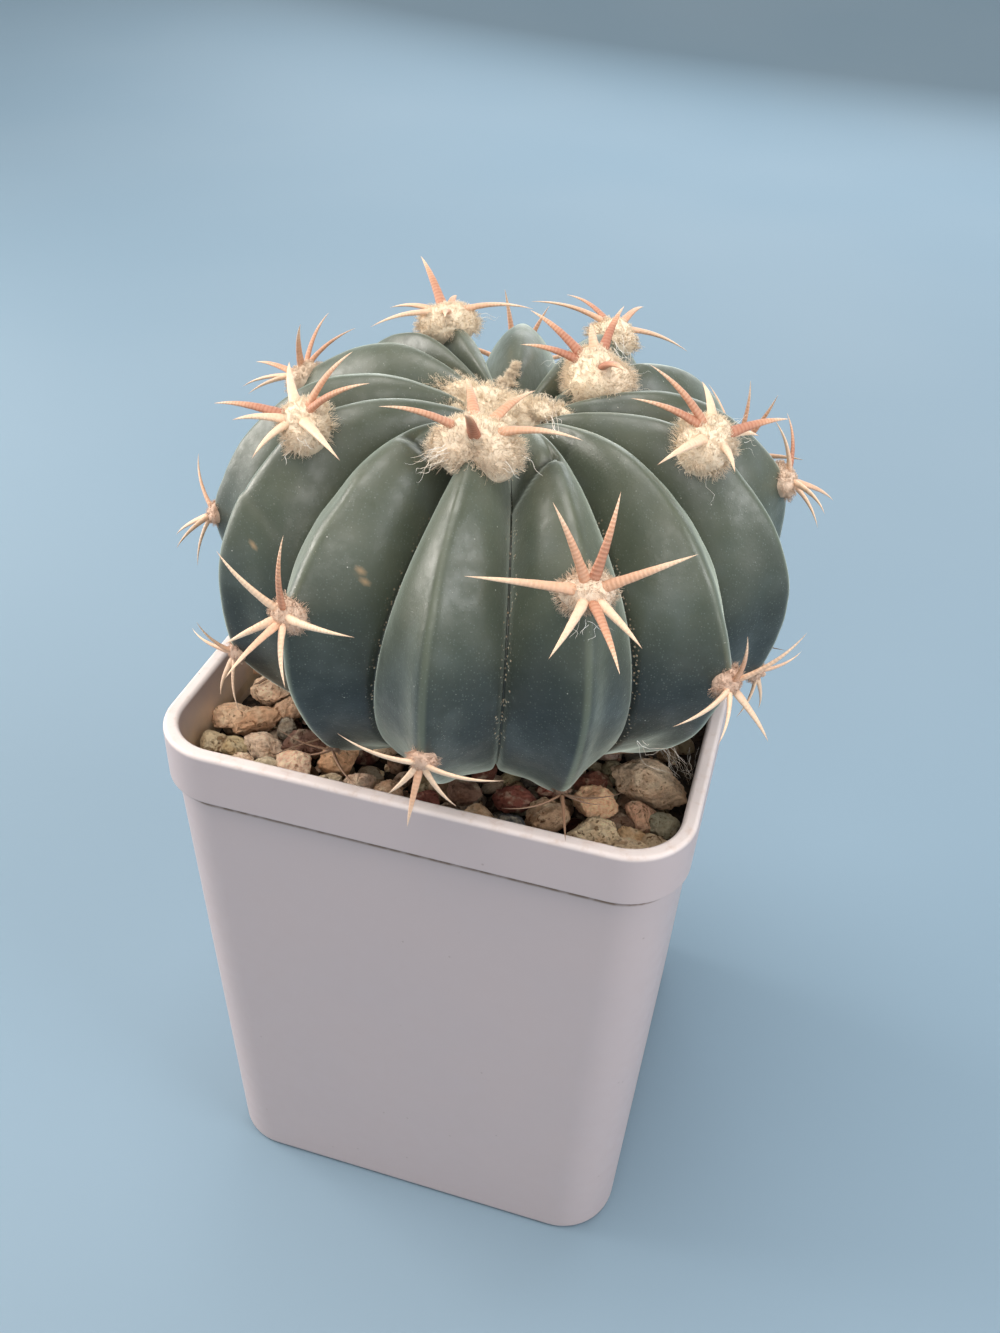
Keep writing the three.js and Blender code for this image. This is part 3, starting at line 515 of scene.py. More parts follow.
class SkinSettings(bpy.types.PropertyGroup):
    # The lower skin is darker partly by its own colour and partly as painted shade on the lower body.
    upper: colour_setting("Upper skin", "Colour of the young skin near the crown", (0.088, 0.098, 0.067))
    lower: colour_setting("Lower skin", "Colour of the old skin near the soil", (0.011, 0.016, 0.016))
    ridge: colour_setting("Ridge line", "Colour of the pale line along each ridge", (0.19, 0.21, 0.14))
    cork: colour_setting("Cork", "Colour of the corky grains along the grooves", (0.5, 0.34, 0.2))


class WoolSettings(bpy.types.PropertyGroup):
    density: amount_setting("Fibres", "Fibres for each square millimetre of the square round an areole", 24)
    fibre_length: length_setting("Fibre length", "Length of a usual fibre", 1 * MM)
    fibre_width: length_setting("Fibre width", "Thickness of a fibre at its root", 0.065 * MM)
    crown_count: count_setting("Crown fibres", "Fibres in the felt of the crown", 9000)
    fresh: colour_setting("Fresh wool", "Colour of the wool near the crown", (0.95, 0.83, 0.65))
    worn: colour_setting("Worn wool", "Colour of old wool", (0.7, 0.5, 0.39))


class SpineSettings(bpy.types.PropertyGroup):
    width: length_setting("Width", "Width of a stout spine near its root", 1.5 * MM)
    cream: colour_setting("Cream", "Colour of a pale spine", (0.86, 0.62, 0.44))
    amber: colour_setting("Amber", "Colour of the middle of a red spine", (0.68, 0.38, 0.24))
    red: colour_setting("Red", "Colour of the root of a red spine", (0.45, 0.195, 0.125))


class StageSettings(bpy.types.PropertyGroup):
    floor: colour_setting("Floor", "Colour of the plain floor", (0.17, 0.242, 0.302))
    overhead: amount_setting("Overhead light", "Strength of the wide soft light from above", 2.7)
    front: amount_setting("Front light", "Power of the light beside the camera in watts", 1.9)
    back: amount_setting("Back light", "Power of the wide light from behind in watts", 5.5)
    left: amount_setting("Left light", "Power of the light from the left in watts", 5.3)
    right: amount_setting("Right light", "Power of the light from the right in watts", 2.7)
    ambient: amount_setting("Ambient light", "Strength of the even light from all round", 0.07)


SETTINGS = {
    "cactus_pot": PotSettings,
    "cactus_gravel": GravelSettings,
    "cactus_skin": SkinSettings,
    "cactus_wool": WoolSettings,
    "cactus_spine": SpineSettings,
    "cactus_stage": StageSettings,
}


# Draws and small sums

def make_draw(seed):
    """Seeded draws from 0 to 1, the same on every run."""
    state = seed

    def draw():
        nonlocal state
        state = (state * 1664525 + 1013904223) % 4294967296
        return state / 4294967296

    return draw


def between(low, high, share):
    return low + (high - low) * share


def smooth(value, low, high):
    """0 below low, 1 above high, and a soft step between them."""
    share = np.clip((value - low) / (high - low), 0, 1)
    return share * share * (3 - 2 * share)


def unit(vectors):
    return vectors / np.linalg.norm(vectors, axis=-1, keepdims=True)


def ripple(points, size, seed=0):
    """Smooth noise from -1 to 1 at each point, with features of one size."""
    shifted = points / size + 19.7 * seed
    return np.array([noise.noise(point) for point in shifted.tolist()])


def ripples(points, layers, seed=0):
    """Layers of smooth noise, each given as its share and its size."""
    return sum(share * ripple(points, size, seed + number) for number, (share, size) in enumerate(layers))


# Meshes

def mesh_of(bm, name):
    mesh = bpy.data.meshes.new(name)
    bm.to_mesh(mesh)
    bm.free()
    return mesh


def points_of(mesh):
    flat = np.empty(3 * len(mesh.vertices), np.float32)
    mesh.vertices.foreach_get("co", flat)
    return flat.reshape(-1, 3).astype(float)


def set_points(mesh, points):
    mesh.vertices.foreach_set("co", np.asarray(points, np.float32).ravel())
    mesh.update()


def set_values(mesh, name, values):
    layer = mesh.attributes.new(name, "FLOAT", "POINT")
    layer.data.foreach_set("value", np.asarray(values, np.float32).ravel())


def set_colours(mesh, name, colours):
    layer = mesh.attributes.new(name, "FLOAT_COLOR", "POINT")
    full = np.ones((len(colours), 4), np.float32)
    full[:, :3] = colours
    layer.data.foreach_set("color", full.ravel())


def shown_mesh(piece):
    """The mesh of a helper object with its modifiers applied. The helper is removed."""
    graph = bpy.context.evaluated_depsgraph_get()
    made = bpy.data.meshes.new_from_object(piece.evaluated_get(graph))
    bpy.data.objects.remove(piece)
    return made


def helper(mesh):
    piece = bpy.data.objects.new(mesh.name, mesh)
    bpy.context.scene.collection.objects.link(piece)
    return piece


def copies(mesh, count):
    """One mesh that holds a mesh count times over, one after another, all in the same place."""
    piece = helper(mesh)
    array = piece.modifiers.new("Copies", "ARRAY")
    array.count = count
    array.use_relative_offset = False
    return shown_mesh(piece)


def add_piece(name, mesh, finish, replaced=()):
    mesh.name = name
    mesh.shade_smooth()
    mesh.materials.clear()
    mesh.materials.append(finish)
    piece = helper(mesh)
    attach(piece, "root")
    if replaced:
        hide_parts(*replaced)
    return piece


def stick(sides, rings):
    """A closed stick along Z from 0 to 1 that ends in a point, with rings of edges along it."""
    bm = bmesh.new()
    bmesh.ops.create_cone(bm, cap_ends=True, segments=sides, radius1=1, radius2=0, depth=1)
    bmesh.ops.translate(bm, verts=bm.verts, vec=(0, 0, 0.5))
    for ring in range(1, rings):
        everything = bm.verts[:] + bm.edges[:] + bm.faces[:]
        bmesh.ops.bisect_plane(bm, geom=everything, plane_co=(0, 0, ring / rings), plane_no=(0, 0, 1))
    bmesh.ops.recalc_face_normals(bm, faces=bm.faces)
    return mesh_of(bm, "stick")


def sweep(template, centres, across, thick, width, thickness):
    """Copies of a stick, each led through its own row of centres. Widths are given at each centre."""
    plain = points_of(template)
    rings = centres.shape[1] - 1
    at = np.rint(plain[:, 2] * rings).astype(int)
    circle = plain[:, :2] / np.maximum(1 - plain[:, 2:], 1e-6)
    circle[at == rings] = 0
    mesh = copies(template, len(centres))
    points = centres[:, at]
    points = points + across[:, None] * (circle[:, 0] * width[:, at] / 2)[..., None]
    points = points + thick[:, None] * (circle[:, 1] * thickness[:, at] / 2)[..., None]
    set_points(mesh, points.reshape(-1, 3))
    return mesh, at / rings


def per_vertex(values, share):
    """A value for each stick, repeated over the stick's vertices."""
    return np.repeat(values, len(share))


# Shape of the plant

def at_station(values, height):
    """A smooth curve through values that stand a station apart, from the crown down."""
    place = (90 - height) / STATION_STEP
    before = np.clip(np.floor(place), 0, len(values) - 2).astype(int)
    share = place - before
    a, b, c, d = (values[np.clip(before + k, 0, len(values) - 1)] for k in (-1, 0, 1, 2))
    return 0.5 * (2 * b + (c - a) * share + (2 * a - 5 * b + 4 * c - d) * share ** 2
                  + (3 * b - a - 3 * c + d) * share ** 3)


def tubercle(rib, height):
    """Swelling of the ridge under its areoles."""
    total = np.zeros(np.shape(height))
    for areole_rib, areole_height, _, _ in AREOLES:
        total += np.where(rib == areole_rib, np.exp(-(((height - areole_height) / TUBERCLE_SPAN) ** 2)), 0)
    return total


def reach(rib, height, across):
    """Reach of the skin from the centre: across runs from 0 on the ridge to 1 in the groove."""
    crest = at_station(CREST_SHARE, height)
    power = between(LOWER_FLANK, UPPER_FLANK, smooth(height, FLATTER_BELOW, FLATTER_FROM))
    flank = 1 - across ** power
    ridge = np.exp(-((across / CREST_WIDTH) ** 2))
    rise = (1 - crest) * flank + crest * ridge
    swell = TUBERCLE_HEIGHT * tubercle(rib, height) * np.exp(-((across / TUBERCLE_WIDTH) ** 2))
    return at_station(RIDGE_REACH, height) - at_station(GROOVE_DEPTH, height) * (1 - rise) + swell


def groove_share(rib, height):
    """Where the groove after a rib lies on the way to the next rib."""
    return RIB_GROOVE[rib] + RIB_SWAY[rib] * height / TWIST_SPAN


def skin_direction(rib, height, side):
    """The way from the centre to the skin. Side runs from -1 in one groove over 0 to 1 in the next."""
    step = np.where(side < 0, -1, 1)
    other = (rib + step) % len(RIBS)
    lap = np.where((other - rib) * step < 0, 360 * step, 0)
    place = np.where(side < 0, 1 - groove_share(other, height), groove_share(rib, height))
    half = np.abs(side) * place
    azimuth = between(RIB_AZIMUTH[rib], RIB_AZIMUTH[other] + lap, half)
    twist = between(RIB_TWIST[rib], RIB_TWIST[other], half)
    angle = np.radians(azimuth + twist * height / TWIST_SPAN)
    tilt = np.radians(height)
    return np.stack((np.cos(tilt) * np.cos(angle), np.cos(tilt) * np.sin(angle), np.sin(tilt)), axis=-1)


def skin_point(rib, height, side=0.0):
    rib, height, side = np.broadcast_arrays(rib, np.asarray(height, float), np.asarray(side, float))
    distance = reach(rib, height, np.abs(side))
    return CENTRE + distance[..., None] * skin_direction(rib, height, side)


class Areole:
    """One areole's place on its ridge, with the ways right, up and out there."""

    def __init__(self, number):
        self.number = number
        self.rib, self.height, width, self.spines = AREOLES[number]
        self.wool = width * MM
        self.place = skin_point(self.rib, self.height)
        self.up = unit(skin_point(self.rib, self.height + 2) - skin_point(self.rib, self.height - 2))
        outward = self.place - CENTRE
        self.outward = unit(outward - self.up * (outward @ self.up))
        self.right = np.cross(self.up, self.outward)
        self.basis = np.array((self.right, self.up, self.outward))
        self.middle = self.place - WOOL_SINK * self.wool * self.outward
        self.radii = self.wool * np.array((0.5, WOOL_LENGTH, WOOL_HEIGHT))
        level = "upper" if self.height > UPPER_FROM else "middle" if self.height > MIDDLE_FROM else "lower"
        self.label = f"rib_{self.rib + 1:02d}_{level}"
        self.spines = self.spines or self.drawn_star()
        self.dryness = float(smooth(-self.height, -DRY_FROM, -DRY_BELOW))

    def drawn_star(self):
        draw = make_draw(SPINE_SEED + self.number)
        star = WORN_STAR if self.height < WORN_BELOW else USUAL_STAR
        spines = []
        for turn, lean, length, redness in star:
            turn += STAR_DRIFT_TURN * (2 * draw() - 1)
            lean += STAR_DRIFT_LEAN * (2 * draw() - 1)
            length *= 1 + STAR_DRIFT_LENGTH * (2 * draw() - 1)
            spines.append((turn, lean, length, redness))
        return spines

    def way(self, turn, lean):
        """The way along the skin at a turn, and the same way leant out from it."""
        along = self.up * math.cos(math.radians(turn)) + self.right * math.sin(math.radians(turn))
        leant = along * math.cos(math.radians(lean)) + self.outward * math.sin(math.radians(lean))
        return along, leant


# Finishes

class Finish:
    """A material in the making: colours painted and bumps pressed one over another, for one shader."""

    def __init__(self, name, colour=None, roughness=0.5, specular=0.5):
        self.material = bpy.data.materials.new(name)
        self.material.use_nodes = True
        self.nodes = self.material.node_tree.nodes
        self.links = self.material.node_tree.links
        self.nodes.clear()
        self.shader = self.nodes.new("ShaderNodeBsdfPrincipled")
        output = self.nodes.new("ShaderNodeOutputMaterial")
        self.links.new(self.shader.outputs["BSDF"], output.inputs["Surface"])
        self.place = self.nodes.new("ShaderNodeTexCoord").outputs["Object"]
        self.put(self.shader.inputs["Roughness"], roughness)
        self.put(self.shader.inputs["Specular IOR Level"], specular)
        self.colour = colour
        self.normal = None

    def put(self, socket, value):
        if isinstance(value, bpy.types.NodeSocket):
            self.links.new(value, socket)
        elif socket.type == "RGBA":
            socket.default_value = (*value, 1)
        else:
            socket.default_value = value

    def field(self, name, output="Fac"):
        """The values of an attribute that the mesh carries."""
        node = self.nodes.new("ShaderNodeAttribute")
        node.attribute_name = name
        return node.outputs[output]

    def axis(self, name):
        node = self.nodes.new("ShaderNodeSeparateXYZ")
        self.put(node.inputs[0], self.place)
        return node.outputs[name]

    def grain(self, size, detail=2.0, roughness=0.5, distortion=0.0):
        node = self.nodes.new("ShaderNodeTexNoise")
        self.put(node.inputs["Vector"], self.place)
        node.inputs["Scale"].default_value = 1 / size
        node.inputs["Detail"].default_value = detail
        node.inputs["Roughness"].default_value = roughness
        node.inputs["Distortion"].default_value = distortion
        return node.outputs["Fac"]

    def cells(self, size):
        """Distance to the nearest of many scattered points, in sizes, and a draw for each point."""
        node = self.nodes.new("ShaderNodeTexVoronoi")
        self.put(node.inputs["Vector"], self.place)
        node.inputs["Scale"].default_value = 1 / size
        split = self.nodes.new("ShaderNodeSeparateColor")
        self.put(split.inputs[0], node.outputs["Color"])
        return node.outputs["Distance"], split.outputs[0]

    def maths(self, operation, *values):
        node = self.nodes.new("ShaderNodeMath")
        node.operation = operation
        for socket, value in zip(node.inputs, values):
            self.put(socket, value)
        return node.outputs[0]

    def times(self, first, *others):
        for other in others:
            first = self.maths("MULTIPLY", first, other)
        return first

    def step(self, value, low, high, at_low=0.0, at_high=1.0):
        node = self.nodes.new("ShaderNodeMapRange")
        node.interpolation_type = "SMOOTHSTEP"
        for socket, number in zip(node.inputs, (value, low, high, at_low, at_high)):
            self.put(socket, number)
        return node.outputs[0]

    def blend(self, share, first, second, mode="MIX"):
        node = self.nodes.new("ShaderNodeMix")
        node.data_type = "RGBA"
        node.blend_type = mode
        self.put(node.inputs["Factor"], share)
        self.put(node.inputs[6], first)
        self.put(node.inputs[7], second)
        return node.outputs[2]

    def patches(self, size, low, high, at_low=0.0, at_high=1.0, **grain):
        """Soft patches: noise of a size, stepped from low to high."""
        return self.step(self.grain(size, **grain), low, high, at_low, at_high)

    def dots(self, size, inner, outer, rare, common):
        """Scattered dots that fade from inner to outer. Only draws above rare show, above common fully."""
        distance, draw = self.cells(size)
        return self.times(self.step(distance, inner, outer, 1, 0), self.step(draw, rare, common))

    def paint(self, share, colour, mode="MIX"):
        self.colour = self.blend(share, self.colour, colour, mode)

    def shade(self, share, colour):
        self.paint(share, colour, "MULTIPLY")

    def emboss(self, height, depth):
        """Bump of a depth in metres, over the earlier bumps."""
        node = self.nodes.new("ShaderNodeBump")
        node.inputs["Distance"].default_value = depth
        self.put(node.inputs["Height"], height)
        if self.normal:
            self.put(node.inputs["Normal"], self.normal)
        self.normal = node.outputs["Normal"]

    def sheen(self, weight, roughness, tint):
        """A waxy film that shows where the surface turns away."""
        self.put(self.shader.inputs["Sheen Weight"], weight)
        self.put(self.shader.inputs["Sheen Roughness"], roughness)
        self.put(self.shader.inputs["Sheen Tint"], tint)

    def done(self, roughness=None):
        self.put(self.shader.inputs["Base Color"], self.colour)
        if roughness:
            self.put(self.shader.inputs["Roughness"], roughness)
        if self.normal:
            self.put(self.shader.inputs["Normal"], self.normal)
        return self.material


def pot_finish(settings):
    finish = Finish("moulded_plastic", settings.colour, specular=0.42)
    height = finish.axis("Z")
    finish.paint(finish.patches(14 * MM, 0.3, 0.7, 0, 0.06, detail=3), PLASTIC_BLOTCH)
    # Painted shade: a dark band on the wall just under the collar's step, patchy like grime.
    crease = POT_HEIGHT - COLLAR_HEIGHT
    below = finish.step(height, crease - 1.6 * MM, crease - 1.1 * MM)
    above = finish.step(height, crease + 0.15 * MM, crease + 0.5 * MM, 1, 0)
    patchy_collar_shade = finish.patches(1.6 * MM, 0.35, 0.65, 0.6, 0.95, detail=4)
    finish.paint(finish.times(below, above, patchy_collar_shade), settings.dirt_and_shade)
    dusty = finish.step(height, POT_HEIGHT - 1.2 * MM, POT_HEIGHT - 0.3 * MM, 0.3, 1)
    finish.paint(finish.times(finish.dots(4.5 * MM, 0.03, 0.055, 0.6, 0.62), dusty), settings.dirt_and_shade)
    lip = finish.step(height, POT_HEIGHT - 0.9 * MM, POT_HEIGHT - 0.1 * MM)
    # The lip's top is painted paler.
    finish.paint(finish.times(lip, 0.75), LIP_TOP_PALE)
    finish.paint(finish.times(finish.dots(1.5 * MM, 0.06, 0.11, 0.66, 0.7), lip, 0.75), settings.dirt_and_shade)
    stain = finish.patches(2.2 * MM, 0.48, 0.72, 0, 0.4, detail=5, roughness=0.65)
    finish.paint(finish.times(stain, lip), LIP_STAIN)
    # Painted light: warm bounce light from the gravel, in soft patches on the pot's inner walls.
    bounce_patches = finish.patches(5 * MM, 0.3, 0.7, 0.5, 0.95, detail=4)
    finish.paint(finish.times(finish.field("inside"), bounce_patches), INSIDE_BOUNCE_LIGHT)
    finish.emboss(finish.grain(0.22 * MM), 0.006 * MM)
    finish.emboss(finish.grain(9 * MM, detail=1), 0.05 * MM)
    return finish.done(finish.patches(3 * MM, 0.3, 0.7, 0.4, 0.52, detail=3))


def soil_finish(settings):
    finish = Finish("dark_soil", settings.soil, roughness=0.95, specular=0.2)
    crumbs, draw = finish.cells(0.9 * MM)
    finish.paint(finish.step(draw, 0.2, 1), SOIL_CRUMB)
    finish.emboss(finish.maths("ADD", finish.grain(0.7 * MM, detail=5, roughness=0.65), crumbs), 0.5 * MM)
    return finish.done()


def stone_finish():
    finish = Finish("pitted_stone", specular=0.25)
    finish.colour = finish.field("stone", "Color")
    finish.shade(finish.patches(1.6 * MM, 0.35, 0.68, 0, 0.55, detail=5, roughness=0.62), STONE_VEIN)
    finish.shade(finish.patches(2.6 * MM, 0.45, 0.75, 0, 0.6, detail=3, distortion=0.6), STONE_PATCH)
    finish.paint(finish.patches(1.9 * MM, 0.5, 0.72, 0, 0.4, detail=4), STONE_PALE)
    # Painted shade in the low places of the crumbly bump, and in the pits and pores pressed in below.
    crumb = finish.grain(0.8 * MM, detail=6, roughness=0.75)
    finish.shade(finish.step(crumb, 0.36, 0.56, 0.35, 0), STONE_CRUMB_SHADE)
    # Painted shade in the pores, in the troughs of the crumbs and on the underside.
    finish.shade(finish.times(finish.field("hollow"), 0.45), STONE_HOLLOW_SHADE)
    rough_side = finish.patches(3.2 * MM, 0.36, 0.56)
    pits = finish.times(finish.patches(0.9 * MM, 0.32, 0.42, 1, 0, distortion=1.1), rough_side)
    finish.shade(finish.times(pits, 0.85), STONE_PIT_SHADE)
    pores = finish.times(finish.dots(0.4 * MM, 0.08, 0.3, 0.5, 0.8), 0.3)
    finish.shade(pores, STONE_PORE_SHADE)
    finish.emboss(finish.maths("SUBTRACT", 1.0, finish.maths("ADD", pits, pores)), 0.5 * MM)
    finish.emboss(crumb, 0.9 * MM)
    return finish.done(finish.patches(1.1 * MM, 0.3, 0.7, 0.75, 0.95))


def skin_finish(settings):
    finish = Finish("cactus_skin", settings.lower, specular=0.6)
    across = finish.field("across")
    height = finish.field("height")
    # Darker towards the soil: partly the old skin's own colour, partly painted shade on the lower body.
    youth = finish.maths("ADD", height, finish.times(finish.grain(16 * MM), 0.3))
    finish.paint(finish.step(youth, 0.08, 0.46), settings.upper)
    finish.shade(finish.patches(3.4 * MM, 0.3, 0.72, 0, 0.5, detail=4), SKIN_MOTTLE)
    finish.paint(finish.patches(8 * MM, 0.5, 0.78, 0, 0.3, detail=3), SKIN_BLOOM)
    ridge = finish.times(finish.step(across, 0.015, 0.075, 1, 0), finish.step(height, -0.3, 0.5, 0.6, 0.1))
    finish.paint(ridge, settings.ridge)
    stipple = finish.dots(0.34 * MM, 0.15, 0.4, 0.35, 0.9)
    finish.paint(finish.times(stipple, 0.4), SKIN_STIPPLE)
    # Painted shade in the crease of each groove and along the folds.
    crease = finish.maths("MAXIMUM", finish.step(across, 0.95, 0.992), finish.field("fold"))
    finish.paint(finish.times(crease, 0.75), SKIN_CREASE_SHADE)
    cork = finish.step(finish.field("cork"), 0.15, 0.55)
    corky = finish.times(finish.dots(0.5 * MM, 0.2, 0.4, 0.4, 0.7), cork)
    finish.paint(finish.times(corky, 0.85), settings.cork)
    finish.paint(finish.field("scar"), SKIN_SCAR)
    mote_places = finish.patches(6 * MM, 0.45, 0.7, 0.1, 1, detail=3)
    motes = finish.times(finish.dots(0.55 * MM, 0.05, 0.12, 0.72, 0.85), mote_places)
    finish.paint(finish.times(motes, 0.7), SKIN_MOTE)
    dust_places = finish.patches(7 * MM, 0.42, 0.62, 0.2, 1, detail=3)
    dust = finish.times(finish.dots(1.4 * MM, 0.035, 0.085, 0.45, 0.8), dust_places)
    finish.paint(finish.times(dust, 0.85), SKIN_DUST)
    leather = finish.maths("ADD", finish.grain(0.36 * MM, detail=3), finish.times(stipple, 0.5))
    finish.emboss(leather, 0.02 * MM)
    finish.emboss(finish.grain(1.5 * MM, detail=3), 0.035 * MM)
    finish.emboss(finish.maths("ADD", corky, finish.times(dust, 0.5)), 0.12 * MM)
    finish.sheen(0.7, 0.35, WAX_TINT)
    return finish.done(finish.patches(1.7 * MM, 0.3, 0.7, 0.34, 0.5, detail=4))


def wool_finish(settings):
    finish = Finish("wool", settings.worn, roughness=1, specular=0.1)
    finish.paint(finish.field("fresh"), settings.fresh)
    finish.paint(finish.times(finish.field("dry"), 0.8), WOOL_DRY)
    finish.shade(finish.patches(1.3 * MM, 0.3, 0.7, 0, 0.3, detail=3), WOOL_CLUMP)
    finish.shade(finish.patches(0.16 * MM, 0.35, 0.6, 0.3, 0, distortion=1.5), WOOL_THREAD)
    finish.emboss(finish.grain(0.3 * MM, detail=4, roughness=0.7), 0.14 * MM)
    return finish.done()


def spine_finish(settings):
    finish = Finish("spine", settings.cream, specular=0.45)
    along = finish.field("along")
    redness = finish.field("redness")
    ring = finish.maths("SINE", finish.times(finish.field("reach"), 2 * math.pi / SPINE_BAND))
    red = finish.times(redness, finish.step(along, 0.3, 1, 1, 0.1))
    finish.paint(finish.step(red, 0.02, 0.5), settings.amber)
    finish.paint(finish.step(red, 0.45, 1), settings.red)
    bands = finish.times(finish.step(ring, -0.2, 0.9), finish.step(redness, 0.2, 0.8, 0, 0.45))
    finish.shade(bands, SPINE_RING)
    finish.shade(finish.patches(0.7 * MM, 0.35, 0.7, 0, 0.35, detail=4), SPINE_STREAK)
    worn_tip = finish.times(finish.step(along, 0.8, 1), finish.step(redness, 0.1, 0.4, 0.5, 0))
    finish.paint(worn_tip, SPINE_TIP)
    finish.paint(finish.times(finish.field("dry"), 0.85), SPINE_DRY)
    finish.emboss(ring, 0.018 * MM)
    finish.emboss(finish.grain(0.4 * MM, detail=3), 0.03 * MM)
    return finish.done(finish.patches(1 * MM, 0.3, 0.7, 0.48, 0.64))


def strand_finish():
    finish = Finish("loose_strands", STRAND_PALE, roughness=0.8, specular=0.3)
    finish.paint(finish.patches(4 * MM, 0.4, 0.6), STRAND_TAN)
    return finish.done()


def floor_finish(settings):
    finish = Finish("plain_floor", settings.floor, roughness=0.75, specular=0.2)
    finish.paint(finish.patches(0.3, 0.3, 0.7, 0, 0.05), FLOOR_CLOUD)
    return finish.done()


# Pot

class Outline:
    """A rounded square's width, corner radius and height, and whether it lies inside the pot."""

    def __init__(self, width, corner, height, inside=False):
        self.width = width
        self.corner = corner
        self.height = height
        self.inside = inside

    def place(self, spoke, signs):
        inner = self.width / 2 - self.corner
        return Vector((signs[0] * inner + spoke.x * self.corner,
                       signs[1] * inner + spoke.y * self.corner, self.height))


def rounded(width, corner, middle, radius, start, end):
    """Outlines round an edge of the wall, from one angle to another. 0 faces out and 90 up."""
    outlines = []
    for step in range(EDGE_STEPS + 1):
        angle = math.radians(between(start, end, step / EDGE_STEPS))
        outward = radius * math.cos(angle)
        outlines.append(Outline(width + 2 * outward, corner + outward, middle + radius * math.sin(angle)))
    return outlines


def pot_outlines(settings):
    """From the underside's edge up the wall, over the lip and down to the floor."""
    width = settings.width
    height = settings.height
    collar = height - COLLAR_HEIGHT
    mouth = width - 2 * LIP_THICKNESS
    mouth_corner = COLLAR_CORNER - LIP_THICKNESS
    shoulder = width - 2 * COLLAR_STEP
    shoulder_corner = COLLAR_CORNER - COLLAR_STEP
    lip_middle = height - LIP_ROUNDING
    floor_width = BASE_WIDTH - 2 * WALL
    inner_corner = mouth_corner - UNDERCUT / 2
    return [
        *rounded(BASE_WIDTH - 2 * BASE_EDGE, BASE_CORNER - BASE_EDGE, BASE_EDGE, BASE_EDGE, -90, 0),
        Outline(shoulder, shoulder_corner, collar),
        *rounded(width - 2 * COLLAR_EDGE, COLLAR_CORNER - COLLAR_EDGE, collar + UNDERCUT / 2 + COLLAR_EDGE,
                 COLLAR_EDGE, -90, 0),
        *rounded(width - 2 * LIP_ROUNDING, COLLAR_CORNER - LIP_ROUNDING, lip_middle, LIP_ROUNDING, 0, 90),
        *rounded(mouth + 2 * LIP_ROUNDING, mouth_corner + LIP_ROUNDING, lip_middle, LIP_ROUNDING, 90, 180),
        Outline(shoulder - 2 * WALL, inner_corner, collar, True),
        Outline(floor_width, inner_corner + WALL, FLOOR, True),
    ]


def round_square(bm, outline):
    """A flat rounded square. Returns the spoke and the corner's signs of each of its vertices."""
    bmesh.ops.create_grid(bm, x_segments=1, y_segments=1, size=outline.width / 2)
    bmesh.ops.bevel(bm, geom=bm.verts[:], offset=outline.corner, offset_type="OFFSET", affect="VERTICES",
                    segments=CORNER_STEPS, profile=0.5, material=-1)
    spokes = {}
    inner = outline.width / 2 - outline.corner
    for vertex in bm.verts:
        signs = (math.copysign(1, vertex.co.x), math.copysign(1, vertex.co.y))
        spoke = Vector((vertex.co.x - signs[0] * inner, vertex.co.y - signs[1] * inner)).normalized()
        spokes[vertex] = (spoke, signs)
        vertex.co = outline.place(spoke, signs)
    return spokes


def next_ring(bm, edges, spokes, outline):
    """Extrudes a ring of edges to the next outline. Returns the new ring of edges."""
    before = {vertex for edge in edges for vertex in edge.verts}
    made = bmesh.ops.extrude_edge_only(bm, edges=edges)["geom"]
    ring = [item for item in made if isinstance(item, bmesh.types.BMVert)]
    layer = bm.verts.layers.float["inside"]
    for vertex in ring:
        others = [edge.other_vert(vertex) for edge in vertex.link_edges]
        below = next(other for other in others if other in before)
        spokes[vertex] = spokes[below]
        vertex[layer] = outline.inside
        vertex.co = outline.place(*spokes[vertex])
    fresh = set(ring)
    return [edge for edge in bm.edges if edge.verts[0] in fresh and edge.verts[1] in fresh]


def pot_mesh(settings):
    outlines = pot_outlines(settings)
    bm = bmesh.new()
    bm.verts.layers.float.new("inside")
    spokes = round_square(bm, outlines[0])
    edges = bm.edges[:]
    for outline in outlines[1:]:
        edges = next_ring(bm, edges, spokes, outline)
    bmesh.ops.contextual_create(bm, geom=edges)
    bmesh.ops.recalc_face_normals(bm, faces=bm.faces)
    shell = helper(mesh_of(bm, "shell"))
    holes = helper(drain_holes())
    cut = shell.modifiers.new("Drain holes", "BOOLEAN")
    cut.operation = "DIFFERENCE"
    cut.object = holes
    made = shown_mesh(shell)
    bpy.data.objects.remove(holes)
    return made


def drain_holes():
    bm = bmesh.new()
    for x in (-1, 1):
        for y in (-1, 1):
            place = Matrix.Translation((x * DRAIN_HOLE_OFFSET, y * DRAIN_HOLE_OFFSET, 0))
            bmesh.ops.create_cone(bm, cap_ends=True, segments=DRAIN_HOLE_SIDES, depth=4 * FLOOR,
                                  radius1=DRAIN_HOLE_RADIUS, radius2=DRAIN_HOLE_RADIUS, matrix=place)
    return mesh_of(bm, "drain_holes")


class CACTUS_OT_pot(bpy.types.Operator):
    """Moulds the square pot with its collar, lip and drain holes"""
    bl_idname = "cactus.pot"
    bl_label = "Pot"

    def execute(self, context):
        settings = context.scene.cactus_pot
        mesh = pot_mesh(settings)
        pot = add_piece("moulded_pot", mesh, pot_finish(settings), ("pot",))
        pot.modifiers.new("Flat walls", "WEIGHTED_NORMAL")
        return {"FINISHED"}


# Soil and gravel

class CACTUS_OT_soil(bpy.types.Operator):
    """Lays the dark soil with its loose grit under the stones"""
    bl_idname = "cactus.soil"
    bl_label = "Soil and grit"

    def execute(self, context):
        settings = context.scene.cactus_gravel
        finish = soil_finish(settings)
        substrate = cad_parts["substrate"]
        substrate.data.materials.clear()
        substrate.data.materials.append(finish)
        add_piece("soil", soil_mesh(), finish)
        add_piece("grit", grit_mesh(settings), stone_finish())
        return {"FINISHED"}


def inner_half():
    """Half the clear width at the soil's height."""
    return POT_WIDTH / 2 - COLLAR_STEP - WALL - CLEARANCE


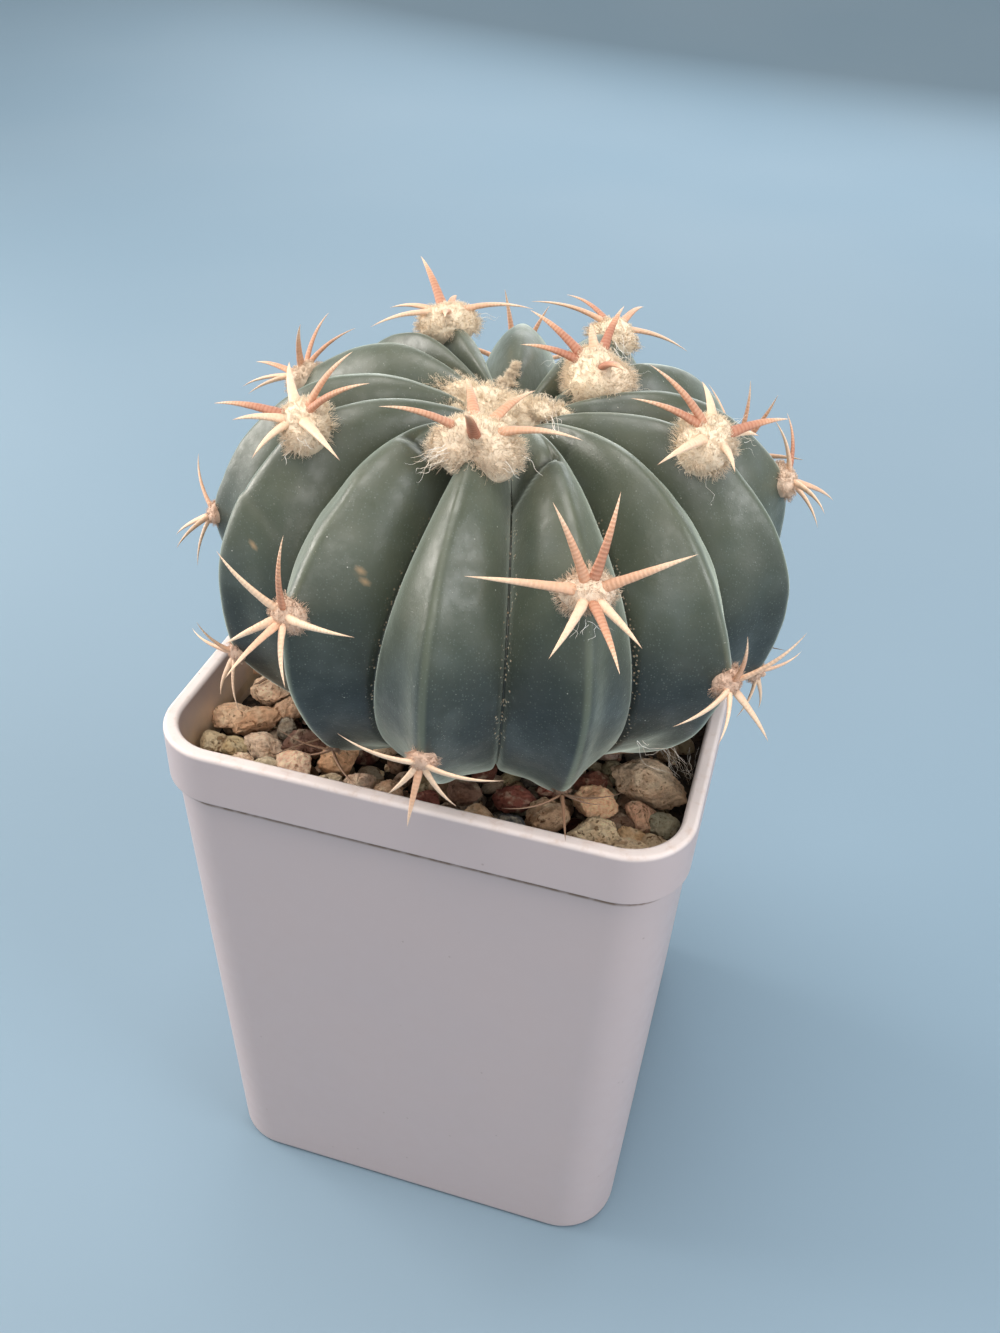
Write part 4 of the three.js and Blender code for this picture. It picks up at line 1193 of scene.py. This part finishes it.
def soil_mesh():
    bm = bmesh.new()
    half = inner_half()
    bmesh.ops.create_grid(bm, x_segments=SOIL_CELLS, y_segments=SOIL_CELLS, size=half)
    made = bmesh.ops.extrude_face_region(bm, geom=bm.faces[:])["geom"]
    top = {item for item in made if isinstance(item, bmesh.types.BMVert)}
    corner = COLLAR_CORNER - LIP_THICKNESS
    straight = half - corner
    for vertex in bm.verts:
        outside = Vector((max(0, abs(vertex.co.x) - straight), max(0, abs(vertex.co.y) - straight)))
        if outside.length > corner:
            outside = outside.normalized() * corner
            vertex.co.x = math.copysign(straight + outside.x, vertex.co.x) if outside.x else vertex.co.x
            vertex.co.y = math.copysign(straight + outside.y, vertex.co.y) if outside.y else vertex.co.y
        if vertex in top:
            vertex.co.z = SOIL_TOP + SOIL_ROUGHNESS * noise.fractal(vertex.co / SOIL_LUMP, 1, 2, 5)
        else:
            vertex.co.z = SOIL_BOTTOM
    bmesh.ops.recalc_face_normals(bm, faces=bm.faces)
    return mesh_of(bm, "soil")


def pebble_places():
    """The front pebbles, then others dropped one by one, the large ones first, clear of the rest."""
    draw = make_draw(PEBBLE_SEED)
    places = list(FRONT_PEBBLES)
    half = (POT_WIDTH / 2 - LIP_THICKNESS) / MM
    mouth_corner = (COLLAR_CORNER - LIP_THICKNESS) / MM
    root = CENTRE / MM
    for _ in range(PEBBLE_TRIES):
        if len(places) == PEBBLE_COUNT:
            break
        share = (len(places) - len(FRONT_PEBBLES)) / (PEBBLE_COUNT - len(FRONT_PEBBLES))
        length = between(PEBBLE_LARGE, PEBBLE_SMALL, math.sqrt(share) * between(PEBBLE_SIZE_DRAW, 1, draw()))
        breadth = length * between(PEBBLE_SLIM, 1, draw())
        room = half - length / 2 - PEBBLE_WALL_GAP
        x = room * (2 * draw() - 1)
        y = room * (2 * draw() - 1)
        straight = half - mouth_corner - length / 4
        corner = math.hypot(max(0, abs(x) - straight), max(0, abs(y) - straight))
        clear = all(math.hypot(x - other[0], y - other[1]) > PEBBLE_SPACING * (length + other[2])
                    for other in places)
        in_pocket = math.hypot(x - BARE_POCKET[0], y - BARE_POCKET[1]) < BARE_POCKET[2]
        from_root = math.hypot(x - root[0], y - root[1])
        clear_of_root = from_root > ROOT_RADII[-1] / MM + length / 2 + PEBBLE_FROM_ROOT
        if clear and clear_of_root and not in_pocket and corner < mouth_corner:
            kind = STONE_MIX[len(places) % len(STONE_MIX)]
            places.append((x, y, length, breadth, 180 * draw(), kind))
    return places


def sink_hollow(points, where, rng, size, depth, soft):
    """Sinks a round hollow at a random place of a stone. Returns the points, and how sunk each is."""
    middle = unit(rng.normal(size=3))
    near = np.clip(1 - np.linalg.norm(where - middle, axis=1) / rng.uniform(*size), 0, 1)
    sunk = smooth(near, 0, soft)
    return points * (1 - rng.uniform(*depth) * sunk)[:, None], sunk


def stone_points(ball, rng):
    """A unit ball chipped flat on a few sides, with lumps and hollows, and how much painted shade each point
    gets in the hollows.
    """
    seed = rng.uniform(0, 50)
    points = ball * (STONE_SWELL + ripples(ball, STONE_LUMPS, seed))[:, None]
    for _ in range(STONE_CHIPS):
        face = unit(rng.normal(size=3))
        over = np.maximum(points @ face - rng.uniform(*CHIP_PLACE), 0)
        points = points - CHIP_CUT * over[:, None] * face
    for _ in range(STONE_PITS):
        points, _ = sink_hollow(points, unit(points), rng, PIT_SIZE, PIT_DEPTH, 1)
    hollow = np.zeros(len(ball))
    for _ in range(STONE_PORES):
        points, sunk = sink_hollow(points, ball, rng, PORE_SIZE, PORE_DEPTH, PORE_SOFTNESS)
        hollow = np.maximum(hollow, sunk)
    crumbs = ripples(ball, STONE_CRUMBS, seed + len(STONE_LUMPS))
    hollow = np.maximum(hollow, smooth(-crumbs, 0, CRUMB_SHADE))
    return points * (1 + crumbs)[:, None], hollow


def stones_mesh(places, heights, detail, rng, tone=1.0):
    """Stones at their places in mm, each with the colour of its kind."""
    bm = bmesh.new()
    bmesh.ops.create_icosphere(bm, subdivisions=detail, radius=1)
    ball = mesh_of(bm, "ball")
    plain = points_of(ball)
    mesh = copies(ball, len(places))
    all_points = []
    hollow_shades = []
    colours = []
    for (x, y, length, breadth, turn, kind), height in zip(places, heights):
        points, sunk = stone_points(plain, rng)
        # Painted shade in the sunk pores and on the stone's underside.
        hollow_shades.append(np.maximum(SUNK_SHADE * sunk, smooth(plain[:, 2], *UNDERSIDE_SHADE)))
        points = points * MM * np.array((length, breadth, breadth * PEBBLE_FLAT)) / 2
        tilt = Matrix.Rotation(rng.uniform(-STONE_TILT, STONE_TILT), 3, "X")
        spin = Matrix.Rotation(math.radians(turn), 3, "Z")
        points = points @ np.array(spin @ tilt).T + np.array((x * MM, y * MM, height))
        all_points.append(points)
        # A tone under one darkens the stones as painted shade, for those that lie deep.
        shade = tone * rng.uniform(*STONE_SHADES) * np.array(STONE_KINDS[kind]) * rng.uniform(*STONE_HUES, 3)
        colours.append(np.repeat(shade[None], len(plain), axis=0))
    set_points(mesh, np.concatenate(all_points))
    set_colours(mesh, "stone", np.concatenate(colours))
    set_values(mesh, "hollow", np.concatenate(hollow_shades))
    return mesh


def upper_stones(places, detail, rng):
    heights = [GRIT_TOP + PEBBLE_SEAT * breadth * MM for _, _, _, breadth, _, _ in places]
    return stones_mesh(places, heights, detail, rng)


def lower_stones(settings, rng):
    """A close layer of smaller stones that carries the upper one, darkened as painted shade for lying deep
    under it.
    """
    half = inner_half() / MM
    step = settings.lower_spacing / MM
    places = []
    heights = []
    for row, y in enumerate(np.arange(-half + step / 2, half, step * ROW_PITCH)):
        for x in np.arange(-half + step * (0.5 + 0.5 * (row % 2)), half, step):
            x = x + rng.uniform(-LOWER_STONES_DRIFT, LOWER_STONES_DRIFT)
            y_here = y + rng.uniform(-LOWER_STONES_DRIFT, LOWER_STONES_DRIFT)
            limit = half - settings.lower_size / MM / 2
            straight = limit - LOWER_STONES_CORNER
            corner = math.hypot(max(0, abs(x) - straight), max(0, abs(y_here) - straight))
            under_plant = math.hypot(x - CENTRE[0] / MM, y_here - CENTRE[1] / MM) < ROOT_RADII[-1] / MM
            if corner > LOWER_STONES_CORNER or max(abs(x), abs(y_here)) > limit or under_plant:
                continue
            length = settings.lower_size / MM * rng.uniform(*LOWER_STONES_SIZES)
            kind = STONE_MIX[rng.integers(len(STONE_MIX))]
            breadth = length * rng.uniform(*LOWER_STONES_BREADTHS)
            places.append((x, y_here, length, breadth, rng.uniform(0, 180), kind))
            heights.append(LOWER_STONES_HEIGHT + rng.uniform(-1, 1) * LOWER_STONES_RISE)
    return stones_mesh(places, heights, LOWER_DETAIL, rng, LOWER_STONES_SHADE)


def grit_mesh(settings):
    rng = np.random.default_rng(GRIT_SEED)
    half = inner_half() / MM - GRIT_FROM_WALL
    places = []
    for _ in range(settings.grit_count):
        length = settings.grit_size / MM * rng.uniform(*GRIT_SIZES)
        x, y = rng.uniform(-half, half, 2)
        kind = STONE_MIX[rng.integers(len(STONE_MIX))]
        places.append((x, y, length, length * rng.uniform(*GRIT_BREADTHS), rng.uniform(0, 180), kind))
    heights = SOIL_TOP + rng.uniform(0, 1, len(places)) * GRIT_DEPTH
    return stones_mesh(places, heights, GRIT_DETAIL, rng)


class CACTUS_OT_gravel(bpy.types.Operator):
    """Places the pitted stones: the upper ones where their solids are, over a close lower layer"""
    bl_idname = "cactus.gravel"
    bl_label = "Gravel"

    def execute(self, context):
        settings = context.scene.cactus_gravel
        finish = stone_finish()
        places = pebble_places()
        rng = np.random.default_rng(STONES_SEED)
        front = len(FRONT_PEBBLES)
        front_mesh = upper_stones(places[:front], FRONT_DETAIL, rng)
        other_mesh = upper_stones(places[front:], OTHER_DETAIL, rng)
        add_piece("front_stones", front_mesh, finish, ("gravel",))
        add_piece("other_stones", other_mesh, finish, ("gravel",))
        add_piece("lower_stones", lower_stones(settings, rng), finish)
        return {"FINISHED"}


# Skin

def skin_grid(ball):
    """Rib, side, height angle and rise from the root's tip for each point of a ball."""
    turn = np.mod(np.arctan2(ball[:, 1], ball[:, 0]) / (2 * math.pi), 1) * len(RIBS)
    turn = np.rint(turn * COLUMNS_PER_RIB) / COLUMNS_PER_RIB
    rib = np.rint(turn).astype(int)
    side = 2 * (turn - rib)
    side = side - COLUMN_WARP * np.sin(2 * math.pi * side) / (2 * math.pi)
    rise = np.arcsin(np.clip(ball[:, 2], -1, 1)) / math.pi + 0.5
    height = between(LOWEST_ROW, 90, np.clip((rise - ROOT_SHARE) / (1 - ROOT_SHARE), 0, 1))
    return rib % len(RIBS), side, height, rise


def dent_depth(rib, side, height):
    total = np.zeros(len(rib))
    for dent_rib, dent_side, dent_height, wide, tall, depth in DENTS:
        near = np.exp(-(((side - dent_side) / wide) ** 2) - ((height - dent_height) / tall) ** 2)
        total = total + np.where(rib == dent_rib, depth * MM * near, 0)
    return total


def fold_depth(rib, side, height):
    """How deep the folds are, and how strong the painted shade along each of them is."""
    total = np.zeros(len(rib))
    shade_lines = np.zeros(len(rib))
    for fold_rib, low, high, on_ridge, drop, depth in FOLDS:
        over = height - on_ridge + drop * np.abs(side) ** FOLD_CURVE
        tuck = np.where(over > 0, np.exp(-over / FOLD_FADE), smooth(over, -FOLD_EDGE, 0))
        along = smooth(side, low - FOLD_END_BEFORE, low + FOLD_END_AFTER)
        along = along * (1 - smooth(side, high - FOLD_END_AFTER, high + FOLD_END_BEFORE))
        along = np.where(rib == fold_rib, along, 0)
        total = total + depth * MM * tuck * along
        shade_line = np.exp(-(((over - FOLD_LINE_HEIGHT) / FOLD_LINE_WIDTH) ** 2))
        shade_lines = shade_lines + along * min(1, depth / FOLD_FULL_SHADE_DEPTH) * shade_line
    return total, shade_lines


def root_points(direction, rise):
    """Points of the root under the body, from its tip up."""
    down = np.clip(rise / ROOT_SHARE, 0, 1)
    stations = np.linspace(0, 1, len(ROOT_RADII))
    flat = unit(direction[:, :2]) * np.interp(down, stations, ROOT_RADII)[:, None]
    return np.column_stack((CENTRE[:2] + flat, np.interp(down, stations, ROOT_HEIGHTS)))


def skin_mesh():
    bm = bmesh.new()
    columns = COLUMNS_PER_RIB * len(RIBS)
    bmesh.ops.create_uvsphere(bm, u_segments=columns, v_segments=SKIN_ROWS, radius=1)
    mesh = mesh_of(bm, "skin")
    rib, side, height, rise = skin_grid(points_of(mesh))
    across = np.abs(side)
    from_crown = smooth(90 - height, *CREASE_FADE)
    crease = CREASE_DEPTH * np.exp(-(((1 - across) / CREASE_WIDTH) ** 2)) * from_crown
    fold, fold_shade = fold_depth(rib, side, height)
    distance = reach(rib, height, across) - crease - dent_depth(rib, side, height) - fold
    direction = skin_direction(rib, height, side)
    points = CENTRE + distance[:, None] * direction
    waves = WAVINESS * ripples(points, WAVES, WAVE_SEED) * from_crown * (1 - smooth(across, *WAVE_FADE))
    points = points + waves[:, None] * direction
    below = rise < ROOT_SHARE
    set_points(mesh, np.where(below[:, None], root_points(direction, rise), points))
    set_values(mesh, "across", np.where(below, 0.5, across))
    set_values(mesh, "height", height / 90)
    set_values(mesh, "cork", corkiness(rib, side, height, points))
    set_values(mesh, "scar", scars(points))
    set_values(mesh, "fold", fold_shade)
    return mesh


def corkiness(rib, side, height, points):
    """How corky the skin is along some of the grooves, around the body's lower half."""
    before = np.where(side < 0, (rib - 1) % len(RIBS), rib)
    strength = np.zeros(len(rib))
    for groove, share in CORKY_GROOVES.items():
        strength[before == groove] = share
    off = (1 - np.abs(side)) * np.cos(np.radians(height))
    width = CORK_WIDTH * (1 + CORK_WANDER * ripple(points, CORK_LENGTH, CORK_SEED))
    band = np.exp(-((off / np.maximum(width, CORK_NARROWEST)) ** 2))
    return strength * band * smooth(height, *CORK_BOTTOM) * smooth(-height, *CORK_TOP)


def scars(points):
    marks = np.zeros(len(points))
    for rib, side, height, radius in SCARS:
        off = np.linalg.norm(points - skin_point(rib, height, side), axis=1)
        marks = np.maximum(marks, 1 - smooth(off / (radius * MM), *SCAR_EDGE))
    return marks


class CACTUS_OT_skin(bpy.types.Operator):
    """Grows the ribbed body with its ridges, creases and the root below it"""
    bl_idname = "cactus.skin"
    bl_label = "Skin"

    def execute(self, context):
        mesh = skin_mesh()
        add_piece("skin", mesh, skin_finish(context.scene.cactus_skin), ("cactus_body",))
        return {"FINISHED"}


# Wool

def pad_mesh(middle, radii, basis, detail, seed, lump_size):
    """A lumpy core that the fibres stand on."""
    bm = bmesh.new()
    bmesh.ops.create_icosphere(bm, subdivisions=detail, radius=1)
    mesh = mesh_of(bm, "pad")
    set_points(mesh, pad_points(points_of(mesh), middle, radii, basis, seed, lump_size))
    return mesh


def pad_points(ball, middle, radii, basis, seed, lump_size):
    """Points of a unit ball brought to the lumpy surface of a pad."""
    plain = (ball * radii) @ basis
    lumps = ripples(plain, [(share, size * lump_size) for share, size in PAD_LUMPS], seed)
    cleft = CLEFT * np.exp(-((ball[:, 0] / CLEFT_WIDTH) ** 2)) * smooth(-ball[:, 1], *CLEFT_PLACE)
    return middle + plain * (PAD_SWELL + lumps - cleft)[:, None]


def fibre_mesh(rng, roots, normals, lengths, width):
    """Fine hairs that stand on a surface, bend, and lean together in tufts."""
    count = len(roots)
    leaning = unit(normals + FIBRE_LEAN * rng.normal(size=(count, 3)))
    tips = roots + lengths[:, None] * leaning
    leaders = rng.choice(count, max(1, count // FIBRES_PER_TUFT), replace=False)
    nearest = np.array([leaders[np.argmin(((roots[leaders] - root) ** 2).sum(1))] for root in roots])
    pull = rng.uniform(*FIBRE_PULL, count)[:, None]
    tips = between(tips, tips[nearest], pull)
    share = np.linspace(0, 1, FIBRE_RINGS + 1)[None, :, None]
    bend = lengths[:, None] * (FIBRE_BEND * normals + FIBRE_STRAY * rng.normal(size=(count, 3)))
    centres = between(roots[:, None], tips[:, None], share) + 4 * share * (1 - share) * bend[:, None]
    way = unit(tips - roots)
    across = unit(np.cross(way, rng.normal(size=(count, 3))))
    thick = np.cross(way, across)
    widths = width * rng.uniform(*FIBRE_WIDTHS, count)[:, None] * np.sqrt(1 - share[..., 0] * FIBRE_THINNING)
    return sweep(stick(FIBRE_SIDES, FIBRE_RINGS), centres, across, thick, widths, widths)


def join(meshes):
    bm = bmesh.new()
    for mesh in meshes:
        bm.from_mesh(mesh)
        bpy.data.meshes.remove(mesh)
    return mesh_of(bm, "joined")


def wool_mesh(rng, middle, radii, basis, count, detail, seed, lump_size, settings, freshness, longer=1):
    """A pad's core with its fibres. Freshness is the wool's tone at a height up the pad from -1 to 1 and a
    rise to its top, paler up and on top partly as painted light.
    """
    core = pad_mesh(middle, radii * CORE_SHARE, basis, detail, seed, lump_size)
    ball = unit(rng.normal(size=(3 * count, 3)))
    ball = ball[ball[:, 2] > FIBRES_ABOVE][:count]
    roots = pad_points(ball, middle, radii * (CORE_SHARE - FIBRE_SINK), basis, seed, lump_size)
    normals = unit((ball / radii) @ basis)
    rim = 1 - np.clip(ball[:, 2], 0, 1)
    usual = longer * settings.fibre_length * (FIBRE_LENGTH_ON_TOP + FIBRE_LENGTH_AT_RIM * rim ** 2)
    lengths = usual * rng.uniform(*FIBRE_LENGTHS, len(ball))
    fibres, share = fibre_mesh(rng, roots, normals, lengths, settings.fibre_width)
    tone = freshness(ball[:, 1], ball[:, 2]) + rng.normal(0, FIBRE_TONES, len(ball))
    set_values(fibres, "fresh", per_vertex(tone, share))
    core_ball = unit((points_of(core) - middle) @ basis.T / radii)
    set_values(core, "fresh", freshness(core_ball[:, 1], core_ball[:, 2]))
    return join((core, fibres))


class CACTUS_OT_areole_wool(bpy.types.Operator):
    """Felts a cushion of fibres round the roots of each areole's spines"""
    bl_idname = "cactus.areole_wool"
    bl_label = "Areole wool"

    def execute(self, context):
        settings = context.scene.cactus_wool
        finish = wool_finish(settings)
        for number in range(len(AREOLES)):
            areole = Areole(number)
            rng = np.random.default_rng(WOOL_SEED + number)
            youth = float(smooth(areole.height, *FRESH_RANGE))

            def freshness(up, out, youth=youth):
                middle, above, lit_on_top = PAD_FRESHNESS_AND_LIGHT
                # Paler up the pad and on its top: partly fresher wool, partly painted light.
                return youth * (middle + above * up + lit_on_top * out)

            count = int(settings.density * (areole.wool / MM) ** 2)
            detail = LARGE_WOOL_DETAIL if areole.wool > LARGE_WOOL else SMALL_WOOL_DETAIL
            longer = between(*FIBRES_BY_WIDTH, float(smooth(areole.wool, *WOOL_WIDTHS)))
            radii = areole.radii * (1 - DRY_SHRINK * areole.dryness)
            mesh = wool_mesh(rng, areole.middle, radii, areole.basis, count, detail, number,
                             WOOL_LUMP * areole.wool, settings, freshness, longer)
            set_values(mesh, "dry", np.full(len(mesh.vertices), areole.dryness))
            add_piece(f"wool_{areole.label}", mesh, finish)
        return {"FINISHED"}


class CACTUS_OT_crown_wool(bpy.types.Operator):
    """Felts the sunken crown, with the tufts of the youngest areoles standing round it"""
    bl_idname = "cactus.crown_wool"
    bl_label = "Crown wool"

    def execute(self, context):
        settings = context.scene.cactus_wool
        rng = np.random.default_rng(CROWN_SEED)

        def freshness(up, out):
            middle, lit_on_top = CROWN_FRESHNESS_AND_LIGHT
            # Paler on the crown's top: partly fresher wool, partly painted light.
            return middle + lit_on_top * out

        count = settings.crown_count // (len(CROWN_TUFTS) + 2)
        pads = [wool_mesh(rng, CROWN_MIDDLE, CROWN_RADII, np.eye(3), 2 * count, LARGE_WOOL_DETAIL,
                          CROWN_LUMP_SEED, CROWN_LUMP, settings, freshness)]
        for number, (x, y, z, radius) in enumerate(CROWN_TUFTS):
            radii = MM * np.array((radius, radius, TUFT_HEIGHT * radius))
            longer = between(TUFT_FIBRES_LEAST, 1, radius)
            pads.append(wool_mesh(rng, MM * np.array((x, y, z)), radii, np.eye(3), count, SMALL_WOOL_DETAIL,
                                  TUFT_LUMP_SEED + number, TUFT_LUMP, settings, freshness, longer))
        add_piece("wool_crown", join(pads), wool_finish(settings), ("crown_wool",))
        return {"FINISHED"}


# Spines

def spine_mesh(areole, settings):
    """All spines of an areole: flattened daggers that bow outwards."""
    share = np.linspace(0, 1, SPINE_RINGS + 1)
    swelling, swelling_place, swelling_length = SPINE_SWELLING
    ripple_share, ripple_pace = SPINE_RIPPLE
    taper = 1 - share ** SPINE_TAPER
    taper = taper * (1 + swelling * np.exp(-(((share - swelling_place) / swelling_length) ** 2)))
    rows = []
    for turn, lean, length_mm, redness in areole.spines:
        length = length_mm * MM
        along, way = areole.way(turn, lean)
        across = unit(np.cross(areole.outward, along))
        thick = np.cross(way, across)
        root = areole.place + SPINE_ROOT * areole.wool * (areole.outward + along)
        tip = areole.place + length * way
        bow = 4 * SPINE_BEND * length * share * (1 - share)
        centres = between(root, tip, share[:, None]) + bow[:, None] * areole.outward
        stoutness = min(SPINE_WIDEST, SPINE_WIDTH_AT_NO_WOOL + SPINE_WIDTH_PER_MM * areole.wool / MM)
        rings = 1 + ripple_share * np.sin(share * ripple_pace + turn)
        width = settings.width * stoutness * taper * rings * (1 - DRY_SHRINK * areole.dryness)
        rows.append((centres, across, thick, width, redness, length))
    centres, across, thick, width, redness, length = (np.array(column) for column in zip(*rows))
    template = stick(SPINE_SIDES, SPINE_RINGS)
    mesh, along = sweep(template, centres, across, thick, width, SPINE_FLATNESS * width)
    set_values(mesh, "along", np.tile(along, len(rows)))
    set_values(mesh, "redness", per_vertex(redness, along))
    set_values(mesh, "dry", np.full(len(mesh.vertices), areole.dryness))
    set_values(mesh, "reach", np.tile(along, len(rows)) * per_vertex(length, along))
    return mesh


class CACTUS_OT_spines(bpy.types.Operator):
    """Sets the star of stout, ringed spines in each areole"""
    bl_idname = "cactus.spines"
    bl_label = "Spines"

    def execute(self, context):
        settings = context.scene.cactus_spine
        finish = spine_finish(settings)
        for number in range(len(AREOLES)):
            areole = Areole(number)
            mesh = spine_mesh(areole, settings)
            add_piece(f"spines_{areole.label}", mesh, finish, (f"areole_{areole.label}",))
        return {"FINISHED"}


# Loose bits

def strand_mesh(rng, starts, ends, curl, width):
    """Thin curly strands from start to end."""
    count = len(starts)
    share = np.linspace(0, 1, STRAND_RINGS + 1)[None, :, None]
    way = unit(ends - starts)
    across = unit(np.cross(way, rng.normal(size=(count, 3))))
    thick = np.cross(way, across)
    length = np.linalg.norm(ends - starts, axis=1)[:, None, None]
    centres = between(starts[:, None], ends[:, None], share)
    for axis in (across, thick):
        beats = rng.uniform(*STRAND_BEATS, (count, 1, 1))
        phase = rng.uniform(*STRAND_PHASES, (count, 1, 1))
        swing = np.sin(2 * math.pi * beats * share + phase) - np.sin(phase)
        centres = centres + curl * length * swing * np.sqrt(share) * axis[:, None]
    widths = width * rng.uniform(*STRAND_WIDTHS, (count, 1)) * (1 - STRAND_THINNING * share[..., 0])
    return sweep(stick(STRAND_SIDES, STRAND_RINGS), centres, across, thick, widths, widths)[0]


class CACTUS_OT_strands(bpy.types.Operator):
    """Hangs ragged strands on some areoles and webs in the bare pocket of the gravel"""
    bl_idname = "cactus.strands"
    bl_label = "Strands"

    def execute(self, context):
        rng = np.random.default_rng(STRAND_SEED)
        starts = []
        ends = []
        for number, turn, lean, length, spread, count in STRAND_BUNCHES:
            areole = Areole(number)
            for _ in range(count):
                along, _ = areole.way(turn + rng.normal(0, spread / 2), lean)
                start = areole.middle + along * areole.wool * rng.uniform(*STRAND_ROOTS)
                start = start + areole.outward * areole.wool * rng.uniform(*STRAND_ROOT_RISE)
                _, way = areole.way(turn + rng.normal(0, spread), lean + rng.normal(0, STRAND_LEAN_SPREAD))
                starts.append(start)
                ends.append(start + way * length * MM * rng.uniform(*STRAND_LENGTHS))
        for start, end, count, scatter in WEBS:
            for _ in range(count):
                starts.append(MM * (np.array(start) + rng.normal(0, 1, 3) * scatter / 2))
                ends.append(MM * (np.array(end) + rng.normal(0, 1, 3) * scatter / 2))
        mesh = strand_mesh(rng, np.array(starts), np.array(ends), STRAND_CURL, STRAND_WIDTH)
        add_piece("loose_strands", mesh, strand_finish())
        starts, ends, widths = (np.array(column) * MM for column in zip(*FALLEN_SPINES))
        fallen = strand_mesh(rng, starts, ends, FALLEN_CURL, widths[:, None])
        set_values(fallen, "dry", np.ones(len(fallen.vertices)))
        add_piece("fallen_spines", fallen, spine_finish(context.scene.cactus_spine))
        return {"FINISHED"}


# Stage

def add_lamp(name, kind, place, power, colour):
    """A lamp at its place that shines at the plant. Returns its data."""
    data = bpy.data.lights.new(name, kind)
    data.energy = power
    data.color = colour
    lamp = bpy.data.objects.new(name, data)
    bpy.context.scene.collection.objects.link(lamp)
    lamp.location = place
    lamp.rotation_euler = (LIGHT_AIM - Vector(place)).to_track_quat("-Z", "Y").to_euler()
    return data


def add_lights(settings):
    overhead = add_lamp("overhead", "SUN", OVERHEAD_PLACE, settings.overhead, OVERHEAD_COLOUR)
    overhead.angle = math.radians(OVERHEAD_SPREAD)
    for name, place, size, colour in AREA_LIGHTS:
        light = add_lamp(name, "AREA", place, getattr(settings, name), colour)
        light.shape = "RECTANGLE"
        light.size, light.size_y = size
    world = bpy.data.worlds.new("studio")
    world.use_nodes = True
    background = world.node_tree.nodes["Background"]
    background.inputs["Color"].default_value = AMBIENT_COLOUR
    background.inputs["Strength"].default_value = settings.ambient
    bpy.context.scene.world = world
    bpy.context.scene.view_settings.view_transform = "Standard"


def add_floor(settings):
    bm = bmesh.new()
    bmesh.ops.create_grid(bm, x_segments=FLOOR_CELLS, y_segments=FLOOR_CELLS, size=FLOOR_HALF)
    for vertex in bm.verts:
        vertex.co.z = FLOOR_SWEEP * max(0, vertex.co.length - FLOOR_FLAT) ** 2
    floor = helper(mesh_of(bm, "floor"))
    floor.data.shade_smooth()
    floor.data.materials.append(floor_finish(settings))


def add_camera():
    azimuth, elevation = math.radians(CAMERA_AZIMUTH), math.radians(CAMERA_ELEVATION)
    back = Vector((math.sin(azimuth) * math.cos(elevation), -math.cos(azimuth) * math.cos(elevation),
                   math.sin(elevation)))
    right = Vector((0, 0, 1)).cross(back).normalized()
    up = back.cross(right)
    rolled = Matrix.Rotation(math.radians(CAMERA_ROLL), 3, back)
    axes = Matrix((rolled @ right, rolled @ up, back)).transposed()
    data = bpy.data.cameras.new("camera")
    data.sensor_width = SENSOR
    data.lens = SENSOR * FOCAL_LENGTH_PIXELS / FRAME_HEIGHT_PIXELS
    data.clip_start = 0.01
    camera = bpy.data.objects.new("camera", data)
    bpy.context.scene.collection.objects.link(camera)
    camera.matrix_world = Matrix.Translation(CAMERA_AIM + axes @ CAMERA_OFFSET) @ axes.to_4x4()
    bpy.context.scene.camera = camera


class CACTUS_OT_stage(bpy.types.Operator):
    """Sets the pale floor, the soft studio lights and the camera"""
    bl_idname = "cactus.stage"
    bl_label = "Stage"

    def execute(self, context):
        settings = context.scene.cactus_stage
        add_floor(settings)
        add_lights(settings)
        add_camera()
        return {"FINISHED"}


OPERATORS = (
    CACTUS_OT_stage, CACTUS_OT_pot, CACTUS_OT_soil, CACTUS_OT_gravel, CACTUS_OT_skin, CACTUS_OT_crown_wool,
    CACTUS_OT_areole_wool, CACTUS_OT_spines, CACTUS_OT_strands,
)


class CACTUS_PT_panel(bpy.types.Panel):
    """Lists the plant's pieces and their settings"""
    bl_idname = "CACTUS_PT_panel"
    bl_label = "Potted cactus"
    bl_space_type = "VIEW_3D"
    bl_region_type = "UI"
    bl_category = "Cactus"

    def draw(self, context):
        for operator in OPERATORS:
            self.layout.operator(operator.bl_idname)
        for name, group in SETTINGS.items():
            box = self.layout.box()
            for field in group.__annotations__:
                box.prop(getattr(context.scene, name), field)


CLASSES = (*SETTINGS.values(), *OPERATORS, CACTUS_PT_panel)


def register():
    for group in CLASSES:
        bpy.utils.register_class(group)
    for name, group in SETTINGS.items():
        setattr(bpy.types.Scene, name, bpy.props.PointerProperty(type=group))


def unregister():
    for name in SETTINGS:
        delattr(bpy.types.Scene, name)
    for group in reversed(CLASSES):
        bpy.utils.unregister_class(group)


def main():
    register()
    for operator in OPERATORS:
        family, name = operator.bl_idname.split(".")
        getattr(getattr(bpy.ops, family), name)()


if __name__ == "__main__":
    main()
